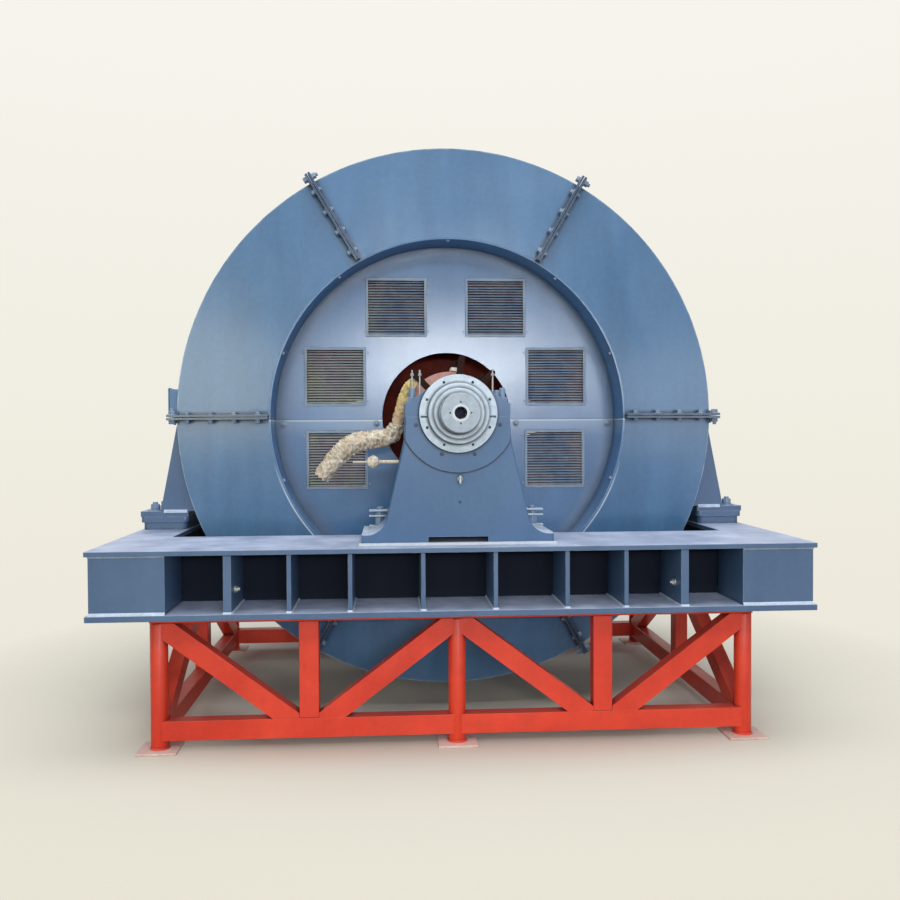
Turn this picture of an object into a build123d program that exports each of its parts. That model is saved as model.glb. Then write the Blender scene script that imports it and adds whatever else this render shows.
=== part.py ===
"""A large low-speed synchronous motor on its bedplate and trussed stand."""

import os
from math import atan2, cos, degrees, hypot, radians, sin, sqrt

from build123d import *

os.makedirs("parts", exist_ok=True)

# All lengths are in millimetres. X runs across the machine, Y along its shaft from the
# free end to the drive end, and Z up. The floor is z = 0 and the shaft axis is at x = 0.

# Clearance where one finished piece seats on another
seat_gap = 0.3

# Bedplate, a welded frame of two cross beams and two side beams
bed_length = 2600
bed_height = 340
bed_front = -1440
bed_top_thickness = 25
bed_bottom_thickness = 30
plate_overhang = 15
cross_beam_depth = 610
side_beam_width = 275
web_thickness = 25
bay_depth = 375
side_bay_depth = 120
middle_bay = 357
corner_width = 377
rib_thickness = 22
thick_rib = 40
side_bay_count = 5

# Stand, tubes welded into trusses under the bedplate
floor_clearance = 135
post_side_inset = 290
post_inset = 242
post_diameter = 89
post_pad_width = 200
post_pad_depth = 190
post_pad_thickness = 12
stand_tube = 100
stand_tube_width = 80
bottom_chord_base = 56
top_chord_height = 50

# Stator housing and its air shields
axis_above_bed = 655
housing_radius = 1560
housing_wall = 20
housing_half_length = 413
shield_rise = 96
shield_wall = 12
shield_below_bore = 103
segment_count = 6
seam_gap = 3
seam_flange_thickness = 12
seam_flange_height = 55
seam_lug = 48
recess_depth = 250
pan_wall = 12
pan_hole_radius = 384

# Louvred windows: their places and sizes as shares of the cover's radius, and angles up
louvre_places = [(0.701, 65.6), (0.6874, 20.1), (0.6835, -21.1)]
louvre_width_share = 0.3525
louvre_height_share = 0.3379
louvre_border = 13
louvre_stand_out = 4
blade_count = 20
blade_depth = 15
blade_thickness = 2
blade_tilt = 38

# Stator core and winding
frame_depth = 160
core_depth = 270
core_half_length = 200
winding_set_back = 10
winding_depth = 90
winding_overhang = 130
winding_corner = 12

# Stator feet on their pads
pad_length = 606
pad_height = 76
pad_head = 34
pad_step = 12
pad_corner = 25
pad_clearance = 76.43
foot_plate_thickness = 32
foot_gusset_thickness = 25
foot_inner_reach = 300
foot_top_reach = 27
foot_top_below_axis = 45
foot_bottom_reach = 160

# Pedestals with their bearings
pedestal_inset = 90
pedestal_half_width = 481
pedestal_base_depth = 430
pedestal_base_height = 42
pedestal_body_depth = 360
pedestal_waist = 373
pedestal_shoulder = 266
pedestal_shoulder_below_axis = 132
pedestal_toe_radius = 110
pedestal_edge_radius = 8
pedestal_shim = 15
pedestal_shim_margin = 15
pedestal_slot_width = 300
pedestal_slot_height = 27
split_below_axis = 16
boss_radius = 292
boss_height = 15
cap_radius = 190
cap_flange_half_width = 262
cap_flange_above_axis = 45
cap_web_thickness = 40
cap_web_top = (115, 150)
cap_margin = 20
bush_wall = 50
bush_clearance = 0.1
ring_radius = 193
ring_thickness = 30
ring_hole_radius = 7
ring_hole_circle = 169
ring_hole_angles = [24, 65, 115, 156, 204, 245, 295, 336]
ring_notch = (34, 10)
labyrinth_wall = 50
labyrinth_thickness = 42
sleeve_ring_wall = 24
sleeve_ring_thickness = 18
ring_chamfer = 4
seal_clearance = 0.5

# Rotor
shaft_front_overhang = 110
shaft_end_step = 3
journal_radius = 100
shaft_middle_radius = 135
hub_seat_radius = 160
hub_seat_half_length = 190
end_bore_radius = 30
end_bore_depth = 80
end_screw_radius = 4.5
end_screw_circle = 51
end_screw_depth = 20
end_chamfer = 4
extension_radius = 95
extension_length = 280
keyway_width = 45
keyway_depth = 15
key_length = 240
hub_wall = 90
hub_half_length = 180
spider_web_thickness = 40
spider_hole_radius = 110
spider_hole_count = 8
rim_thickness = 100
rim_half_length = 160
weld_depth = 5
pole_height = 218
pole_count = 36
pole_half_length = 190
pole_core_width = 85
pole_shoe_width = 150
pole_shoe_height = 45
air_gap = 12
slip_ring_radius = 253
slip_ring_width = 45
slip_ring_pitch = 85
slip_ring_start = 420
slip_hub_wall = 55

# Brush gear and its wrapped leads
brush_arm_width = 34
brush_arm_thickness = 16
brush_arm_root = 30
brush_arm_angles = [47, 81, 133]
stud_radius = 10
stud_overhang = 15
brush_gap = 5
brush_box_width = 66
brush_box_height = 50
sleeve_radius = 33
sleeve_rise = 165
sleeve_route = [(-200, 70, 165), (-262, 100, 88), (-312, 112, -55)]
sleeve_corners = [42, 150]
bundle_radius = 44
bundle_start = 75
bundle_route = [(-450, 125, -140), (-570, 140, -160), (-655, 150, -240), (-722, 160, -340)]
bundle_corners = [60, 200, 150, 200]

# Thermometer and housing box
thermometer_inset = 160
thermometer_drop = 242
thermometer_stem_radius = 9
thermometer_stem_length = 100
thermometer_head = [(8, 24), (30, 36), (56, 22), (64, 5)]
thermometer_lead_length = 70
thermometer_lead_radius = 4
box_inset = 163
box_length = 200
box_rise = 95
box_height = 145
box_stand_out = 58
box_corner = 14

# Places worked out from the sizes above
mid_y = bed_front + bed_length / 2
bed_rear = bed_front + bed_length
axis_z = housing_radius + floor_clearance
bed_top = axis_z - axis_above_bed
stand_height = bed_top - bed_height
pad_below_axis = axis_above_bed - pad_height
opening_half_width = sqrt(housing_radius**2 - pad_below_axis**2) + pad_clearance
bed_width = 2 * (opening_half_width + side_beam_width)
post_x = bed_width / 2 - post_side_inset
core_outer_radius = housing_radius - frame_depth
core_inner_radius = core_outer_radius - core_depth
shield_inner_radius = core_inner_radius - shield_below_bore
shield_half_length = housing_half_length + shield_rise
pan_half_length = shield_half_length - recess_depth
louvre_width = louvre_width_share * shield_inner_radius
louvre_height = louvre_height_share * shield_inner_radius
mid_plane = Plane(origin=(0, mid_y, 0), x_dir=(1, 0, 0), z_dir=(0, -1, 0))
shaft_axis = Axis((0, mid_y, axis_z), (0, 1, 0))
bottom_up = (Align.CENTER, Align.CENTER, Align.MIN)


def elevation(y):
    """The plane across the shaft at y, seen from the free end, centred on the shaft."""
    return Plane(origin=(0, y, axis_z), x_dir=(1, 0, 0), z_dir=(0, -1, 0))


def radial_plane(angle):
    """The half plane out from the shaft at an angle up from +X: first Y, then the radius."""
    normal = (sin(radians(angle)), 0, -cos(radians(angle)))
    return Plane(origin=(0, mid_y, axis_z), x_dir=(0, 1, 0), z_dir=normal)


def ring_profile(start, end, inner, outer):
    """A section of a ring round the shaft, from start to end beside the middle plane."""
    with BuildSketch(radial_plane(90)) as section:
        with Locations(((start + end) / 2, (inner + outer) / 2)):
            Rectangle(end - start, outer - inner)
    return section.sketch


def save(builder, name):
    """Labels a finished piece and writes it."""
    builder.part.label = name
    export_step(builder.part, f"parts/{name}.step")


# Bedplate: top and bottom plates of the cross beams
plate_levels = [
    (stand_height, bed_bottom_thickness),
    (bed_top - bed_top_thickness, bed_top_thickness),
]
cross_beam_centres = [bed_front + cross_beam_depth / 2, bed_rear - cross_beam_depth / 2]
with BuildPart() as bed_cross_plates:
    for level, thickness in plate_levels:
        for y in cross_beam_centres:
            with Locations((0, y, level)):
                Box(bed_width, cross_beam_depth, thickness, align=bottom_up)
save(bed_cross_plates, "bed_cross_plates")

# Bedplate: top and bottom plates of the side beams
side_plate_length = bed_length - 2 * cross_beam_depth
side_beam_x = bed_width / 2 - side_beam_width / 2
with BuildPart() as bed_side_plates:
    for level, thickness in plate_levels:
        with Locations((-side_beam_x, mid_y, level), (side_beam_x, mid_y, level)):
            Box(side_beam_width, side_plate_length, thickness, align=bottom_up)
save(bed_side_plates, "bed_side_plates")

# Bedplate: upright webs, set back behind the open bays, and round the opening
web_base = stand_height + bed_bottom_thickness
web_height = bed_height - bed_bottom_thickness - bed_top_thickness
side_bay = (bed_width / 2 - corner_width - 1.5 * middle_bay) / 3
bay_span = bed_width - 2 * corner_width
with BuildPart() as bed_cross_webs:
    for side in (-1, 1):
        outer_y = mid_y + side * (bed_length / 2 - bay_depth - web_thickness / 2)
        with Locations((0, outer_y, web_base)):
            Box(bay_span, web_thickness, web_height, align=bottom_up)
        inner_y = mid_y + side * (bed_length / 2 - cross_beam_depth + web_thickness / 2)
        with Locations((0, inner_y, web_base)):
            Box(2 * opening_half_width, web_thickness, web_height, align=bottom_up)
save(bed_cross_webs, "bed_cross_webs")

side_bay_span = bed_length - 2 * bay_depth
side_inner_length = bed_length - 2 * (cross_beam_depth - web_thickness)
with BuildPart() as bed_side_webs:
    for side in (-1, 1):
        outer_x = side * (bed_width / 2 - side_bay_depth - web_thickness / 2)
        with Locations((outer_x, mid_y, web_base)):
            Box(web_thickness, side_bay_span, web_height, align=bottom_up)
        inner_x = side * (opening_half_width + web_thickness / 2)
        with Locations((inner_x, mid_y, web_base)):
            Box(web_thickness, side_inner_length, web_height, align=bottom_up)
save(bed_side_webs, "bed_side_webs")

# Bedplate: ribs between the open bays
ribs = [
    (middle_bay / 2, rib_thickness),
    (1.5 * middle_bay, rib_thickness),
    (1.5 * middle_bay + side_bay, rib_thickness),
    (1.5 * middle_bay + 2 * side_bay, thick_rib),
]
rib_depth = bay_depth - plate_overhang
side_rib_depth = side_bay_depth - plate_overhang
side_rib_pitch = side_bay_span / side_bay_count
with BuildPart() as bed_ribs:
    for side in (-1, 1):
        y = mid_y + side * (bed_length / 2 - bay_depth + rib_depth / 2)
        for x, thickness in ribs:
            with Locations((-x, y, web_base), (x, y, web_base)):
                Box(thickness, rib_depth, web_height, align=bottom_up)
        x = side * (bed_width / 2 - side_bay_depth + side_rib_depth / 2)
        for index in range(1, side_bay_count):
            y = mid_y - side_bay_span / 2 + index * side_rib_pitch
            with Locations((x, y, web_base)):
                Box(side_rib_depth, rib_thickness, web_height, align=bottom_up)
save(bed_ribs, "bed_ribs")

# Bedplate: closed box at each corner
box_width = corner_width - plate_overhang
box_depth = bay_depth - plate_overhang
corner_x = bed_width / 2 - plate_overhang - box_width / 2
corner_y = bed_length / 2 - plate_overhang - box_depth / 2
with BuildPart() as bed_corner_boxes:
    with BuildSketch(Plane.XY.offset(web_base)):
        with Locations((0, mid_y)):
            with GridLocations(2 * corner_x, 2 * corner_y, 2, 2):
                Rectangle(box_width, box_depth)
    extrude(amount=web_height)
save(bed_corner_boxes, "bed_corner_boxes")

# Machined pads that carry the stator feet, each a block with a wider head
with BuildPart() as foot_pads:
    pad_block = pad_height - pad_head
    for level, height, inset in ((0, pad_block, pad_step), (pad_block, pad_head, 0)):
        with BuildSketch(Plane.XY.offset(bed_top + level)):
            with Locations((-side_beam_x, mid_y), (side_beam_x, mid_y)):
                RectangleRounded(side_beam_width - 2 * inset, pad_length - 2 * inset, pad_corner)
        extrude(amount=height)
save(foot_pads, "foot_pads")

# Stand: round posts on square foot plates
post_half_spacing = bed_length / 2 - post_inset
post_places = [(x, mid_y + side * post_half_spacing) for side in (-1, 1) for x in (-post_x, 0, post_x)]
post_top = stand_height - top_chord_height
with BuildPart() as stand_posts:
    with BuildSketch(Plane.XY.offset(post_pad_thickness)):
        with Locations(*post_places):
            Circle(post_diameter / 2)
    extrude(amount=post_top - post_pad_thickness)
save(stand_posts, "stand_posts")

with BuildPart() as stand_foot_plates:
    with BuildSketch():
        with Locations(*post_places):
            Rectangle(post_pad_width, post_pad_depth)
    extrude(amount=post_pad_thickness)
save(stand_foot_plates, "stand_foot_plates")

# Stand: top chords under the bedplate
with BuildPart() as stand_top_chords:
    for side in (-1, 1):
        with Locations((0, mid_y + side * post_half_spacing, post_top)):
            Box(2 * post_x + stand_tube_width, stand_tube_width, top_chord_height, align=bottom_up)
save(stand_top_chords, "stand_top_chords")

side_truss_length = 2 * post_half_spacing - stand_tube_width
with BuildPart() as stand_side_top_chords:
    with Locations((-post_x, mid_y, post_top), (post_x, mid_y, post_top)):
        Box(stand_tube_width, side_truss_length, top_chord_height, align=bottom_up)
save(stand_side_top_chords, "stand_side_top_chords")

# Stand: bottom chords, coped to the round posts
with BuildPart() as stand_bottom_chords:
    for side in (-1, 1):
        with Locations((0, mid_y + side * post_half_spacing, bottom_chord_base)):
            Box(2 * post_x, stand_tube_width, stand_tube, align=bottom_up)
    add(stand_posts.part, mode=Mode.SUBTRACT)
save(stand_bottom_chords, "stand_bottom_chords")

with BuildPart() as stand_side_chords:
    with Locations((-post_x, mid_y, bottom_chord_base), (post_x, mid_y, bottom_chord_base)):
        Box(stand_tube_width, side_truss_length, stand_tube, align=bottom_up)
    add(stand_posts.part, mode=Mode.SUBTRACT)
save(stand_side_chords, "stand_side_chords")

# Stand: upright tubes at the quarter points and in the middle of each side
chord_top = bottom_chord_base + stand_tube
upright_height = post_top - chord_top
quarter_x = post_x / 2
with BuildPart() as stand_uprights:
    with BuildSketch(Plane.XY.offset(chord_top)):
        with Locations((0, mid_y)):
            with GridLocations(2 * quarter_x, 2 * post_half_spacing, 2, 2):
                Rectangle(stand_tube, stand_tube_width)
            with GridLocations(2 * post_x, 0, 2, 1):
                Rectangle(stand_tube_width, stand_tube)
    extrude(amount=upright_height)
save(stand_uprights, "stand_uprights")


def brace_profile(high, low, left, right):
    """A slanting tube seen square on, from its high end to its low end between two uprights."""
    rise = upright_height
    run = low - high
    angle = degrees(atan2(-rise, run))
    with BuildSketch() as profile:
        with Locations(((high + low) / 2, rise / 2)):
            Rectangle(2 * hypot(rise, run), stand_tube, rotation=angle)
        with Locations(((left + right) / 2, rise / 2)):
            Rectangle(right - left, rise, mode=Mode.INTERSECT)
    return profile.sketch


# Stand: braces of the front and rear trusses, a flat W, coped to the posts
tube_half = stand_tube / 2
tube_half_width = stand_tube_width / 2
with BuildPart() as stand_braces:
    for side in (-1, 1):
        truss_y = mid_y + side * post_half_spacing
        truss = Plane(origin=(0, truss_y, chord_top), x_dir=(1, 0, 0), z_dir=(0, -1, 0))
        for hand in (-1, 1):
            for post, upright in ((hand * post_x, hand * quarter_x), (0, hand * quarter_x)):
                towards = 1 if upright > post else -1
                near_face = upright - towards * tube_half
                ends = sorted((post, near_face))
                profile = brace_profile(post, near_face - towards * tube_half, *ends)
                extrude(truss * profile, amount=tube_half_width, both=True)
    add(stand_posts.part, mode=Mode.SUBTRACT)
save(stand_braces, "stand_braces")

# Stand: braces of the side trusses, from the post feet to the top of the middle upright
side_end = side_truss_length / 2
with BuildPart() as stand_side_braces:
    for x in (-post_x, post_x):
        truss = Plane(origin=(x, mid_y, chord_top), x_dir=(0, 1, 0), z_dir=(1, 0, 0))
        for hand in (-1, 1):
            ends = sorted((hand * tube_half, hand * side_end))
            profile = brace_profile(hand * 2 * tube_half, hand * (side_end - tube_half), *ends)
            extrude(truss * profile, amount=tube_half_width, both=True)
    add(stand_posts.part, mode=Mode.SUBTRACT)
save(stand_side_braces, "stand_side_braces")

# Stator housing: a rolled shell with two inner rings that hold the core
joint_bar_height = 2 * seam_flange_thickness + seam_gap
with BuildPart() as stator_housing:
    revolve(
        ring_profile(
            -housing_half_length, housing_half_length, housing_radius - housing_wall, housing_radius
        ),
        axis=shaft_axis,
    )
    for side in (-1, 1):
        near = side * core_half_length
        far = side * (core_half_length + housing_wall)
        start, end = sorted((near, far))
        revolve(
            ring_profile(start, end, core_outer_radius - housing_wall, housing_radius - housing_wall / 2),
            axis=shaft_axis,
        )
    for side in (-1, 1):
        joint_x = side * (housing_radius + seam_lug / 2 - housing_wall / 4)
        with Locations((joint_x, mid_y, axis_z)):
            Box(seam_lug + housing_wall / 2, 2 * housing_half_length, joint_bar_height)
    with Locations((0, mid_y, axis_z)):
        Box(4 * housing_radius, 4 * housing_half_length, seam_gap, mode=Mode.SUBTRACT)
save(stator_housing, "stator_housing")

with BuildPart() as stator_core:
    revolve(
        ring_profile(-core_half_length, core_half_length, core_inner_radius, core_outer_radius),
        axis=shaft_axis,
    )
save(stator_core, "stator_core")

winding_inner_radius = core_inner_radius + winding_set_back
winding_outer_radius = winding_inner_radius + winding_depth
with BuildPart() as stator_winding:
    for side in (-1, 1):
        start, end = sorted((side * core_half_length, side * (core_half_length + winding_overhang)))
        revolve(
            ring_profile(start, end, winding_inner_radius, winding_outer_radius),
            axis=shaft_axis,
        )
    fillet(stator_winding.edges().filter_by(GeomType.CIRCLE), winding_corner)
save(stator_winding, "stator_winding")

# Air shield: six flat-cone segments, bolted together along standing flanges
shield_points = [
    (-housing_half_length, housing_radius),
    (-shield_half_length, shield_inner_radius),
    (-shield_half_length + shield_wall, shield_inner_radius),
    (-housing_half_length, housing_radius - housing_wall),
]
flange_points = [
    (-housing_half_length, housing_radius - housing_wall / 2),
    (-shield_half_length + shield_wall / 2, shield_inner_radius),
    (-shield_half_length - seam_flange_height, shield_inner_radius),
    (-housing_half_length - seam_flange_height, housing_radius + seam_lug),
    (-housing_half_length, housing_radius + seam_lug),
]
segment_angle = 360 / segment_count
half_gap_angle = degrees(seam_gap / 2 / shield_inner_radius)
low_edge = half_gap_angle
high_edge = segment_angle - half_gap_angle
with BuildPart() as shield_segment:
    with BuildSketch(radial_plane(high_edge)):
        with BuildLine():
            Polyline(*shield_points, close=True)
        make_face()
    revolve(axis=shaft_axis, revolution_arc=high_edge - low_edge)
    for edge, inward in ((low_edge, -1), (high_edge, 1)):
        with BuildSketch(radial_plane(edge)):
            with BuildLine():
                Polyline(*flange_points, close=True)
            make_face()
        extrude(amount=inward * seam_flange_thickness)
with BuildPart() as front_shield:
    for index in range(segment_count):
        add(shield_segment.part.rotate(shaft_axis, index * segment_angle))
save(front_shield, "front_shield")

with BuildPart() as rear_shield:
    mirror(front_shield.part, about=mid_plane)
save(rear_shield, "rear_shield")

# Recessed end cover: a shallow pan in two halves, with louvred windows
pan_radius = shield_inner_radius - seat_gap
pan_points = [
    (-shield_half_length, pan_radius),
    (-shield_half_length, pan_radius - pan_wall),
    (-pan_half_length - pan_wall, pan_radius - pan_wall),
    (-pan_half_length - pan_wall, pan_hole_radius),
    (-pan_half_length, pan_hole_radius),
    (-pan_half_length, pan_radius),
]
window_places = [
    (
        side * share * shield_inner_radius * cos(radians(angle)),
        share * shield_inner_radius * sin(radians(angle)),
    )
    for side in (-1, 1)
    for share, angle in louvre_places
]


def cover_half(side):
    """The upper (1) or lower (-1) half of the pan, cut for its windows."""
    with BuildPart() as half:
        with BuildSketch(radial_plane(90)) as section:
            with BuildLine():
                Polyline(*pan_points, close=True)
            make_face()
        revolve(axis=shaft_axis)
        with BuildSketch(elevation(mid_y - pan_half_length + pan_wall)) as windows:
            with Locations(*window_places):
                Rectangle(louvre_width, louvre_height)
        extrude(amount=4 * pan_wall, mode=Mode.SUBTRACT)
        cut = -side * (pan_radius - side * seam_gap / 2)
        with Locations((0, mid_y - shield_half_length / 2, axis_z + cut - split_below_axis)):
            Box(3 * pan_radius, 3 * shield_half_length, 2 * pan_radius, mode=Mode.SUBTRACT)
    return half


front_cover_upper = cover_half(1)
save(front_cover_upper, "front_cover_upper")
front_cover_lower = cover_half(-1)
save(front_cover_lower, "front_cover_lower")

# Louvre panels, fitted in the windows: a frame with slanting blades, its front edge standing out
panel_width = louvre_width - 2 * seat_gap
panel_height = louvre_height - 2 * seat_gap
panel_depth = pan_wall + louvre_stand_out
blade_length = panel_width - louvre_border
blade_pitch = (panel_height - 2 * louvre_border) / blade_count
blade_plane = Plane(
    origin=(-blade_length / 2, mid_y - pan_half_length - panel_depth / 2, axis_z),
    x_dir=(0, 1, 0),
    z_dir=(1, 0, 0),
)
with BuildPart() as louvre_panel:
    with BuildSketch(elevation(mid_y - pan_half_length)) as panel_frame:
        Rectangle(panel_width, panel_height)
        Rectangle(panel_width - 2 * louvre_border, panel_height - 2 * louvre_border, mode=Mode.SUBTRACT)
    extrude(amount=panel_depth)
    with BuildSketch(blade_plane) as blades:
        with GridLocations(blade_pitch, blade_pitch, 1, blade_count):
            Rectangle(blade_depth, blade_thickness, rotation=blade_tilt)
    extrude(amount=blade_length)
with BuildPart() as front_louvres:
    with Locations(*[(x, 0, z) for x, z in window_places]):
        add(louvre_panel.part)
save(front_louvres, "front_louvres")

for source, name in (
    (front_cover_upper, "rear_cover_upper"),
    (front_cover_lower, "rear_cover_lower"),
    (front_louvres, "rear_louvres"),
):
    with BuildPart() as rear_piece:
        mirror(source.part, about=mid_plane)
    save(rear_piece, name)

# Stator feet: a foot plate, three gussets and a sloping side plate on each side
foot_base = bed_top + pad_height
foot_low = foot_base + foot_plate_thickness - axis_z
foot_inner_x = opening_half_width
foot_bottom_x = opening_half_width + foot_bottom_reach
foot_top_x = housing_radius + foot_top_reach
with BuildPart() as right_foot:
    with Locations((side_beam_x, mid_y, foot_base)):
        Box(side_beam_width, pad_length, foot_plate_thickness, align=bottom_up)
    for place in (-1, 0, 1):
        y = mid_y + place * (pad_length - foot_gusset_thickness) / 2 + foot_gusset_thickness / 2
        with BuildSketch(elevation(y)) as gusset:
            with BuildLine():
                Polyline(
                    (foot_inner_x - foot_inner_reach, foot_low),
                    (foot_bottom_x, foot_low),
                    (foot_top_x, -foot_top_below_axis),
                    (foot_top_x - foot_inner_reach, -foot_top_below_axis),
                    close=True,
                )
            make_face()
        extrude(amount=foot_gusset_thickness)
    with BuildSketch(elevation(mid_y + pad_length / 2)) as side_plate:
        with BuildLine():
            Polyline(
                (foot_bottom_x - foot_gusset_thickness, foot_low),
                (foot_bottom_x, foot_low),
                (foot_top_x, -foot_top_below_axis),
                (foot_top_x - foot_gusset_thickness, -foot_top_below_axis),
                close=True,
            )
        make_face()
    extrude(amount=pad_length)
    with Locations(Location((0, mid_y, axis_z), (90, 0, 0))):
        Cylinder(housing_radius + seat_gap, bed_length, mode=Mode.SUBTRACT)
with BuildPart() as stator_feet:
    add(right_foot.part)
    mirror(right_foot.part, about=Plane.YZ)
save(stator_feet, "stator_feet")

# Pedestal: a cast body with curved toes, split near the shaft axis
bush_outer_radius = journal_radius + bush_wall
pedestal_front = bed_front + pedestal_inset
pedestal_base = bed_top + pedestal_shim
body_base = pedestal_base + pedestal_base_height - axis_z
pedestal_back = pedestal_front + pedestal_body_depth
with BuildPart() as front_pedestal:
    with Locations((0, pedestal_front + pedestal_base_depth / 2, pedestal_base)):
        Box(2 * pedestal_half_width, pedestal_base_depth, pedestal_base_height, align=bottom_up)
    with BuildSketch(elevation(pedestal_back)):
        with BuildLine():
            Polyline(
                (-pedestal_half_width, body_base - pedestal_base_height),
                (pedestal_half_width, body_base - pedestal_base_height),
                (pedestal_half_width, body_base),
                (pedestal_waist, body_base),
                (pedestal_shoulder, -pedestal_shoulder_below_axis),
                (cap_flange_half_width, -split_below_axis),
                (-cap_flange_half_width, -split_below_axis),
                (-pedestal_shoulder, -pedestal_shoulder_below_axis),
                (-pedestal_waist, body_base),
                (-pedestal_half_width, body_base),
                close=True,
            )
        make_face()
    extrude(amount=pedestal_body_depth)
    toe_edges = [
        edge
        for edge in front_pedestal.edges().filter_by(Axis.Y)
        if abs(abs(edge.center().X) - pedestal_waist) < 1
    ]
    fillet(toe_edges, pedestal_toe_radius)
    rim_edges = [
        edge
        for edge in front_pedestal.faces().sort_by(Axis.Y)[0].outer_wire().edges()
        if pedestal_base + 1 < edge.center().Z < axis_z - split_below_axis - 1
    ]
    fillet(rim_edges, pedestal_edge_radius)
    with BuildSketch(elevation(pedestal_front)) as boss:
        Circle(boss_radius)
        Rectangle(2 * pedestal_shoulder - 2 * pedestal_edge_radius, 2 * boss_radius, mode=Mode.INTERSECT)
        with Locations((0, boss_radius - split_below_axis)):
            Rectangle(2 * boss_radius, 2 * boss_radius, mode=Mode.SUBTRACT)
    extrude(amount=boss_height)
    with Locations(Location((0, pedestal_front, axis_z), (90, 0, 0))):
        Cylinder(bush_outer_radius + seat_gap, bed_length, mode=Mode.SUBTRACT)
    with Locations((0, pedestal_front + pedestal_base_depth / 2, pedestal_base)):
        Box(
            pedestal_slot_width,
            pedestal_base_depth,
            pedestal_slot_height,
            align=bottom_up,
            mode=Mode.SUBTRACT,
        )
save(front_pedestal, "front_pedestal")

# Bearing cap over the pedestal: a half barrel with bolting flanges and a sloping front web
boss_front = pedestal_front - boss_height
cap_flange_height = cap_flange_above_axis + split_below_axis
cap_back = pedestal_back - cap_margin
web_top_x, web_top_z = cap_web_top
with BuildPart() as front_cap:
    with BuildSketch(elevation(cap_back)) as cap_outline:
        Circle(cap_radius)
        with Locations((0, cap_flange_height / 2 - split_below_axis)):
            Rectangle(2 * cap_flange_half_width, cap_flange_height)
        with Locations((0, -cap_radius - split_below_axis)):
            Rectangle(3 * cap_radius, 2 * cap_radius, mode=Mode.SUBTRACT)
    extrude(amount=cap_back - boss_front)
    with BuildSketch(elevation(boss_front + cap_web_thickness)) as cap_web:
        with BuildLine():
            Polyline(
                (-cap_flange_half_width, cap_flange_above_axis),
                (cap_flange_half_width, cap_flange_above_axis),
                (web_top_x, web_top_z),
                (-web_top_x, web_top_z),
                close=True,
            )
        make_face()
    extrude(amount=cap_web_thickness)
    with Locations(Location((0, pedestal_front, axis_z), (90, 0, 0))):
        Cylinder(bush_outer_radius + seat_gap, bed_length, mode=Mode.SUBTRACT)
save(front_cap, "front_cap")

# Bearing bush, seal ring and labyrinth ring round the journal
front_boss_offset = boss_front - mid_y
with BuildPart() as front_bush:
    revolve(
        ring_profile(
            front_boss_offset, pedestal_back - mid_y, journal_radius + bush_clearance, bush_outer_radius
        ),
        axis=shaft_axis,
    )
save(front_bush, "front_bush")

with BuildPart() as front_seal_ring:
    revolve(
        ring_profile(
            front_boss_offset - ring_thickness,
            front_boss_offset,
            journal_radius + seal_clearance,
            ring_radius,
        ),
        axis=shaft_axis,
    )
    ring_front = elevation(boss_front - ring_thickness)
    with BuildSketch(ring_front) as ring_holes:
        for angle in ring_hole_angles:
            with Locations((ring_hole_circle * cos(radians(angle)), ring_hole_circle * sin(radians(angle)))):
                Circle(ring_hole_radius)
    extrude(amount=-ring_thickness, mode=Mode.SUBTRACT)
    notch_width, notch_height = ring_notch
    with BuildSketch(ring_front) as ring_notches:
        with Locations((-ring_hole_circle, -split_below_axis), (ring_hole_circle, -split_below_axis)):
            Rectangle(notch_width, notch_height)
    extrude(amount=-ring_thickness / 2, mode=Mode.SUBTRACT)
save(front_seal_ring, "front_seal_ring")

labyrinth_front = front_boss_offset - ring_thickness - labyrinth_thickness
sleeve_front = labyrinth_front - sleeve_ring_thickness
with BuildPart() as front_labyrinth:
    for start, end, wall in (
        (labyrinth_front, front_boss_offset - ring_thickness, labyrinth_wall),
        (sleeve_front, labyrinth_front, sleeve_ring_wall),
    ):
        revolve(
            ring_profile(start, end, journal_radius + seal_clearance, journal_radius + wall),
            axis=shaft_axis,
        )
    outer_edges = front_labyrinth.edges().filter_by(GeomType.CIRCLE).group_by(Axis.Y)
    chamfer(outer_edges[0].sort_by(SortBy.LENGTH)[-1], ring_chamfer)
    chamfer(outer_edges[1].sort_by(SortBy.LENGTH)[-1], ring_chamfer)
save(front_labyrinth, "front_labyrinth")

for source, name in (
    (front_pedestal, "rear_pedestal"),
    (front_cap, "rear_cap"),
    (front_bush, "rear_bush"),
    (front_seal_ring, "rear_seal_ring"),
    (front_labyrinth, "rear_labyrinth"),
):
    with BuildPart() as rear_piece:
        mirror(source.part, about=mid_plane)
    save(rear_piece, name)

# Shims under the pedestals
with BuildPart() as pedestal_shims:
    for side in (-1, 1):
        y = mid_y + side * (bed_length / 2 - pedestal_inset - pedestal_base_depth / 2)
        with Locations((0, y, bed_top)):
            Box(
                2 * (pedestal_half_width + pedestal_shim_margin),
                pedestal_base_depth + pedestal_shim_margin,
                pedestal_shim,
                align=bottom_up,
            )
save(pedestal_shims, "pedestal_shims")

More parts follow.
